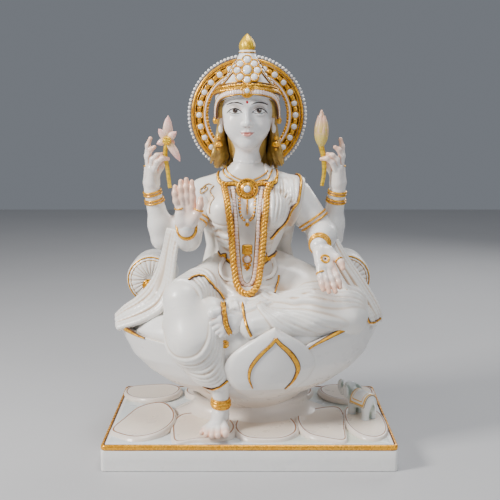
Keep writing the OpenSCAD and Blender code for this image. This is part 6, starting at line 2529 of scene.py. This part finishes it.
# %% The shawl end on her left
LS = Clay((92, -72, 176), (204, 34, 312), 1.25)
g1 = [(108, -28, 300), (120, -42, 270), (137, -54, 240), (156, -56, 214), (170, -54, 198), (173, -52, 188)]
g2 = [(130, -2, 302), (147, -10, 272), (166, -20, 246), (183, -26, 222), (192, -28, 204), (194, -28, 190)]
LS.cloth(g1, g2, 6, seed=52, fat=0.56, wander=0.25)
LS.limb((120, -12, 294), 6, (136, -22, 264), 7, 2)
LS.limb((136, -22, 264), 7, (158, -32, 234), 7, 2)
ls_ob = LS.mesh("left_shawl_spill")
finish_piece(ls_ob, DRAPE, "marble", "left_shawl_end")
Q, N = lay(Skin([ls_ob]), [(166, 194), (172, 191.5), (178, 190.5), (184, 191), (190, 194)], 40, 0.3,
           rel=False)
edge_l = [strip("l", Q, N, 3.2, 1.8, 1.4)]
Q, N = lay(Skin([ls_ob]), [(138, 240), (150, 226), (160, 214), (167, 200)], 40, 0.3, rel=False)
edge_l.append(strip("l", Q, N, 1.8, 1.4, 1.2))
finish_piece(merge("left_shawl_gold_edge", edge_l), GOLD, "gilding")

# %% [markdown]
# A bundle of pleats hangs between the legs, gathered at the top and open below. It fills the gap between
# lap and leg as the stone does.

# %% Pleats between the legs
SP = Clay((-48, -124, 176), (26, -44, 242), 1.15)
SP.limb((-22, -72, 222), 12, (-16, -84, 196), 13, 8)
SP.limb((-8, -70, 222), 10, (-4, -84, 198), 11, 8)
SP.folds([(-34, -96, 232), (-30, -104, 214), (-24, -110, 190)],
         [(0, -84, 232), (2, -92, 214), (6, -100, 192)], 5, 4.0, 2.2, 0.35,
         ends=(0.2, 0.2), seed=53)
sp_ob = SP.mesh("pleats_between_legs")
finish_piece(sp_ob, DRAPE, "marble", "sari_pleats")

# %% [markdown]
# A small elephant stands on a petal at her left, seen from behind as it walks inward with its trunk
# raised. It is one carved body with a blanket laid over its back.

# %% Elephant and its blanket
E0 = mid("elephant")
fwd = unit(v(-0.55, 0.83, 0))
lft = v(fwd[1], -fwd[0], 0)


def el(f, s, z):
    return v(E0[0], E0[1], 40.5) + fwd * f + lft * s + v(0, 0, z)


ec = Clay(v(E0[0] - 46, E0[1] - 62, 38), v(E0[0] + 46, E0[1] + 64, 104), 0.95)
ec.blob(el(-8, 0, 27), (13.5, 21, 13), 3, turn=(math.degrees(math.atan2(fwd[1], fwd[0])) - 90, 0, 0))
ec.blob(el(-20, 0, 27), (12.5, 12.5, 13), 6)
ec.blob(el(6, 0, 28), (12, 12, 13), 6)
for f, s in ((-24, -7), (-22, 7), (6, -7.5), (8, 7)):
    ec.limb(el(f, s, 22), 6.6, el(f + 1, s, 4), 5.4, 4)
    ec.blob(el(f + 1.5, s, 2.6), (6.2, 6.2, 3.2), 2)
ec.blob(el(22, 0, 35), (10.5, 10.5, 11.5), 6)
ec.blob(el(21, -3.5, 43), (5, 5, 4.5), 4)
ec.blob(el(21, 3.5, 43), (5, 5, 4.5), 4)
ec.tube(curve([el(28, 0, 34), el(35, 0, 29), el(41, 0, 31), el(44, 0, 38), el(41, 0, 44)], 16),
        np.linspace(5.4, 2.5, 16), 3)
for s in (-1, 1):
    ec.blob(el(17, s * 11, 34), (9.0, 3.0, 9.5), 2.0, turn=(math.degrees(math.atan2(fwd[1],
            fwd[0])) + s * 18, 0, 0))
    ec.tube([el(28, s * 5, 29), el(33, s * 6, 26), el(36, s * 6, 28)], [1.8, 1.5, 0.9], 1.0)
ec.tube([el(-32, 0, 32), el(-36, 1, 24), el(-36, 1, 15)], [1.8, 1.3, 1.6], 1.5)
elephant = ec.mesh("elephant_body")
finish_piece(elephant, COOL, "tinted_marble", "elephant")
ES = Skin([elephant])
nf, nsd = 26, 34
rows, att = [], []
for i, f in enumerate(np.linspace(-27, 4, nf)):
    ang = np.radians(np.linspace(-100, 100, nsd))
    dirs = np.sin(ang)[:, None] * lft + np.cos(ang)[:, None] * v(0, 0, 1)
    src = el(f, 0, 24) + dirs * 40
    q, n_ = ES.drop(src, -dirs, 5, 1.0)
    rows.append(q)
    eu, ev = abs(i - (nf - 1) / 2) / ((nf - 1) / 2), np.abs(np.linspace(-1, 1, nsd))
    att.append(np.maximum(eu, ev))
top = np.array(rows)
top = smooth_rows(top.transpose(1, 0, 2), 3).transpose(1, 0, 2)
low_ = top - unit(top - (el(-11, 0, 24))) * 2.2
both_ = np.concatenate([top, low_[:, ::-1]], axis=1)
aa = np.concatenate([np.array(att), np.array(att)[:, ::-1]], axis=1)
cloth = loft("elephant_blanket", both_, attrs={"border": aa, "cavity_shade": 0.0})


def blanket_paint(s, col):
    b = s.attr("border")
    line = b.ramp(0.80, 0.84) * b.ramp(0.93, 0.96, 1.0, 0.0)
    line2 = b.ramp(0.62, 0.65) * b.ramp(0.68, 0.71, 1.0, 0.0)
    rim_ = b.ramp(0.955, 0.985)
    col = s.mix(line.max(line2), col, (0.80, 0.47, 0.06))
    return s.mix(rim_, col, (0.30, 0.16, 0.05))


finish_piece(cloth, marble("Blanket_marble", base=(0.90, 0.89, 0.87), extra=blanket_paint), "gilding",
             "elephant_cloth")

# %% [markdown]
# The two back hands hold flowers: one open, with a petal up and one hanging, one still a bud. The petals
# are set round a gilded heart, thin at the edge and washed with rose at the tips.

# %% Open lotus and bud
def petal(name, root, tip, out, width, cup, n=18, m=14, point=1.0):
    # a single petal: a cupped sheet with thickness from root to tip, leaning along "out"
    root, tip, out = np.asarray(root, float), np.asarray(tip, float), unit(np.asarray(out, float))
    axis = tip - root
    L = np.linalg.norm(axis)
    T = axis / L
    out = unit(out - (out @ T) * T)
    S = np.cross(T, out)
    s = np.linspace(0, 1, n)
    w = width * (np.sin(np.pi * np.clip(s * 0.86 + 0.10, 0,
                                        1)) ** 0.8) * (1 - 0.25 * s) * np.clip((1.0 - s) * 6 * point, 0,
                                                1) ** 0.5 + 0.25
    rings = []
    for si, wi in zip(s, w):
        c = root + axis * si + out * (cup * math.sin(math.pi * si) * 0.9)
        u = np.linspace(-1, 1, m)
        th = 1.15 * (1 - 0.55 * si) * (1 - 0.6 * u ** 2) + 0.25
        lift_ = out * 0 + 0.0
        sheet = c + u[:, None] * wi * S - out * (cup * 0.75 * (u ** 2))[:, None] * (wi / max(width, 0.1))
        f = sheet + out * (th / 2)[:, None]
        b = sheet - out * (th / 2)[:, None]
        rings.append(np.vstack([f, b[::-1]]))
    R = np.array(rings)
    ob = loft(name, R, attrs={"tip": np.tile(s[:, None], (1, 2 * m)),
                              "cavity_shade": np.tile(np.clip(0.8 - s * 2.2, 0, 1)[:, None], (1, 2 * m))})
    return ob


def lotus_paint(name, base, mid_c, tip_c):
    s = Shader(name)
    t = s.attr("tip") + (s.noise(90, 3) - 0.5) * 0.3
    rib = (s.noise(240, 2, 0.5, 2.0) - 0.5).abs().ramp(0.0, 0.08, 1.0, 0.0)
    col = s.mix(t.ramp(0.05, 0.45), base, mid_c)
    col = s.mix(t.ramp(0.45, 0.95), col, tip_c)
    col = s.mix(rib * 0.25, col, (0.95, 0.86, 0.80))
    s.bump(s.noise(260, 3), 0.15, 0.0006)
    return s.set(Base_Color=col, Roughness=s.noise(60, 2).ramp(0.2, 0.8, 0.28, 0.42), Coat_Weight=0.25,
                 Subsurface_Weight=0.12,
                 Subsurface_Radius=(1.0, 0.5, 0.4), Subsurface_Scale=0.003)


LOTUS = lotus_paint("Painted_open_lotus", (0.80, 0.60, 0.18), (0.88, 0.60, 0.50), (0.90, 0.46, 0.42))
BUD = lotus_paint("Painted_lotus_bud", (0.74, 0.55, 0.06), (0.84, 0.62, 0.10), (0.90, 0.50, 0.34))
FCN = v(-119, 1, 449)
pet = []
for (dx, dy, dz), out, w, cup in (((2, 0, 35), (0.2, -1, 0), 7.5, 3.5),
                                  ((19, -2, -31), (0.6, -0.7, 0.3), 7.5, 3.5),
                                  ((14, -4, 12), (0.3, -1, 0.3), 6.0, 3),
                                  ((-12, -2, 16), (-0.3, -1, 0.2), 6.0, 3),
                                  ((-15, -2, -6), (-0.4, -1, -0.2), 5.5, 3),
                                  ((4, 6, 26), (0, 1, 0.2), 7.0, 3),
                                  ((-4, 8, 14), (-0.2, 1, 0), 6.5, 3), ((10, 7, -8), (0.4, 0.8, 0), 6.5, 3)):
    pet.append(petal("p", FCN, FCN + v(dx, dy, dz), out, w, cup))
finish_piece(merge("open_lotus_petals", pet), LOTUS, "rose_marble", "open_lotus")
st = [rod("s", curve([FCN + v(0, 0, 0), FCN + v(-3, 2, -20), FCN + v(0, 3, -44), FCN + v(3, 2, -70)], 40),
          np.linspace(3.4, 2.7, 40), 12)]
bc_ = mid("lotus_bud")
BCN = v(bc_[0] - 1.5, bc_[1], 438)
st.append(rod("s", curve([BCN + v(0, 0, 2), BCN + v(4, 1, -16), BCN + v(5, 2, -36), BCN + v(2, 2, -56)],
                         40), np.linspace(4.2, 2.6, 40), 12))
for o in st:
    c_ = coords(o)
    # darker bands about every 7 mm along the stems
    set_attr(o, "cavity_shade", np.clip(np.sin(c_[:, 2] * 0.9) * 1.2, 0, 1) * 0.6)
    set_attr(o, "across", np.zeros(len(c_)))
heart = place(lathe("h", [(1.0, -4), (5.4, -2.5), (6.6, 0.5), (5.6, 3.4), (3.0, 4.8), (0.8, 5.2)], 28,
                    across=[0.9, 0.4, 0, 0, 0.2, 0.9]), FCN + v(0, -4, -1), JX, v(0, 0, 1),
              v(0, -1, 0))
beads_h = [place(copy_model(PEARL_M), FCN + v(4.4 * math.cos(k), -8.2, -1 + 4.4 * math.sin(k)), JX,
                 v(0, 0, 1), v(0, -1, 0), 1.3)
           for k in np.linspace(0, 2 * math.pi, 9)[:-1]]
finish_piece(merge("flower_stems_and_heart", st + [heart] + beads_h), YELLOW, "gilding")
pet = []
for ring, (k, L, w, r, cup) in enumerate(((6, 54, 8.5, 6.5, 6.0), (7, 46, 8.0, 8.5, 6.0),
                                          (8, 30, 6.5, 9.5, 5.0))):
    for i in range(k):
        a_ = 2 * math.pi * (i + 0.5 * (ring % 2) + 0.2 * ring) / k - math.pi / 2
        d_ = v(math.cos(a_), math.sin(a_), 0)
        tipd = d_ * (1.0 if ring == 0 else 5.0 if ring == 1 else 9.5)
        pet.append(petal("p", BCN + d_ * 2.2, BCN + tipd + v(0, 0, L), d_, w, r - 1.5 if ring < 2 else 4.0))
core_ = lathe("c", [(1, 0), (6, 5), (9, 14), (9.6, 22), (8, 32), (5, 42), (2, 50), (0.5, 53)], 24)
core_.data.transform(Matrix.Translation(Vector(BCN) * MM))
c_ = coords(core_)
set_attr(core_, "tip", np.clip((c_[:, 2] - BCN[2]) / 54, 0, 1))
finish_piece(merge("lotus_bud_petals", pet + [core_]), BUD, "rose_marble", "lotus_bud")
print("flowers done, %.1f s" % (time.time() - T0))

# %% [markdown]
# A pale floor, broad soft lights and a camera at the height of the figure's chest, looking slightly down.

# %% Floor, lights and camera
bpy.ops.mesh.primitive_plane_add(size=6, location=(0, 0, 0))
floor = bpy.context.object
floor.name = "studio_floor"
fm = Shader("Studio_floor")
fm.set(Base_Color=fm.mix(fm.noise(3, 2), (0.46, 0.46, 0.47), (0.50, 0.50, 0.51)), Roughness=0.6)
floor.data.materials.append(fm.m)


def area(name, loc, size, power, target=(0, 0, 0.3), color=(1, 1, 1)):
    li = bpy.data.lights.new(name, "AREA")
    li.shape, li.size, li.size_y, li.energy, li.color = "RECTANGLE", size, size, power, color
    ob = bpy.data.objects.new(name, li)
    ob.location = loc
    ob.rotation_euler = (Vector(target) - Vector(loc)).to_track_quat("-Z", "Y").to_euler()
    bpy.context.scene.collection.objects.link(ob)
    return ob


area("key_light", (-1.45, -0.75, 1.25), 0.45, 52, color=(1.0, 0.975, 0.94))
area("fill_light", (1.2, -1.6, 0.7), 0.9, 7.5, color=(0.93, 0.965, 1.0))
area("top_light", (0.15, -0.25, 1.8), 0.6, 17)
area("rim_light", (0.9, 1.4, 1.1), 0.8, 10)
world = bpy.data.worlds.new("Studio_air")
world.use_nodes = True
world.node_tree.nodes["Background"].inputs[0].default_value = (0.60, 0.65, 0.73, 1)
world.node_tree.nodes["Background"].inputs[1].default_value = 0.29
bpy.context.scene.world = world

cam = bpy.data.cameras.new("camera")
cam.lens, cam.sensor_width = 65.8, 36.0
cam_ob = bpy.data.objects.new("camera", cam)
cam_ob.location = (0.001, -1.330, 0.502)
cam_ob.rotation_euler = (math.radians(90 - 9.15), 0, 0)
bpy.context.scene.collection.objects.link(cam_ob)
bpy.context.scene.camera = cam_ob

for o in MODELS:
    bpy.data.objects.remove(o, do_unlink=True)
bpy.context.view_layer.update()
print("time %.1f s" % (time.time() - T0))
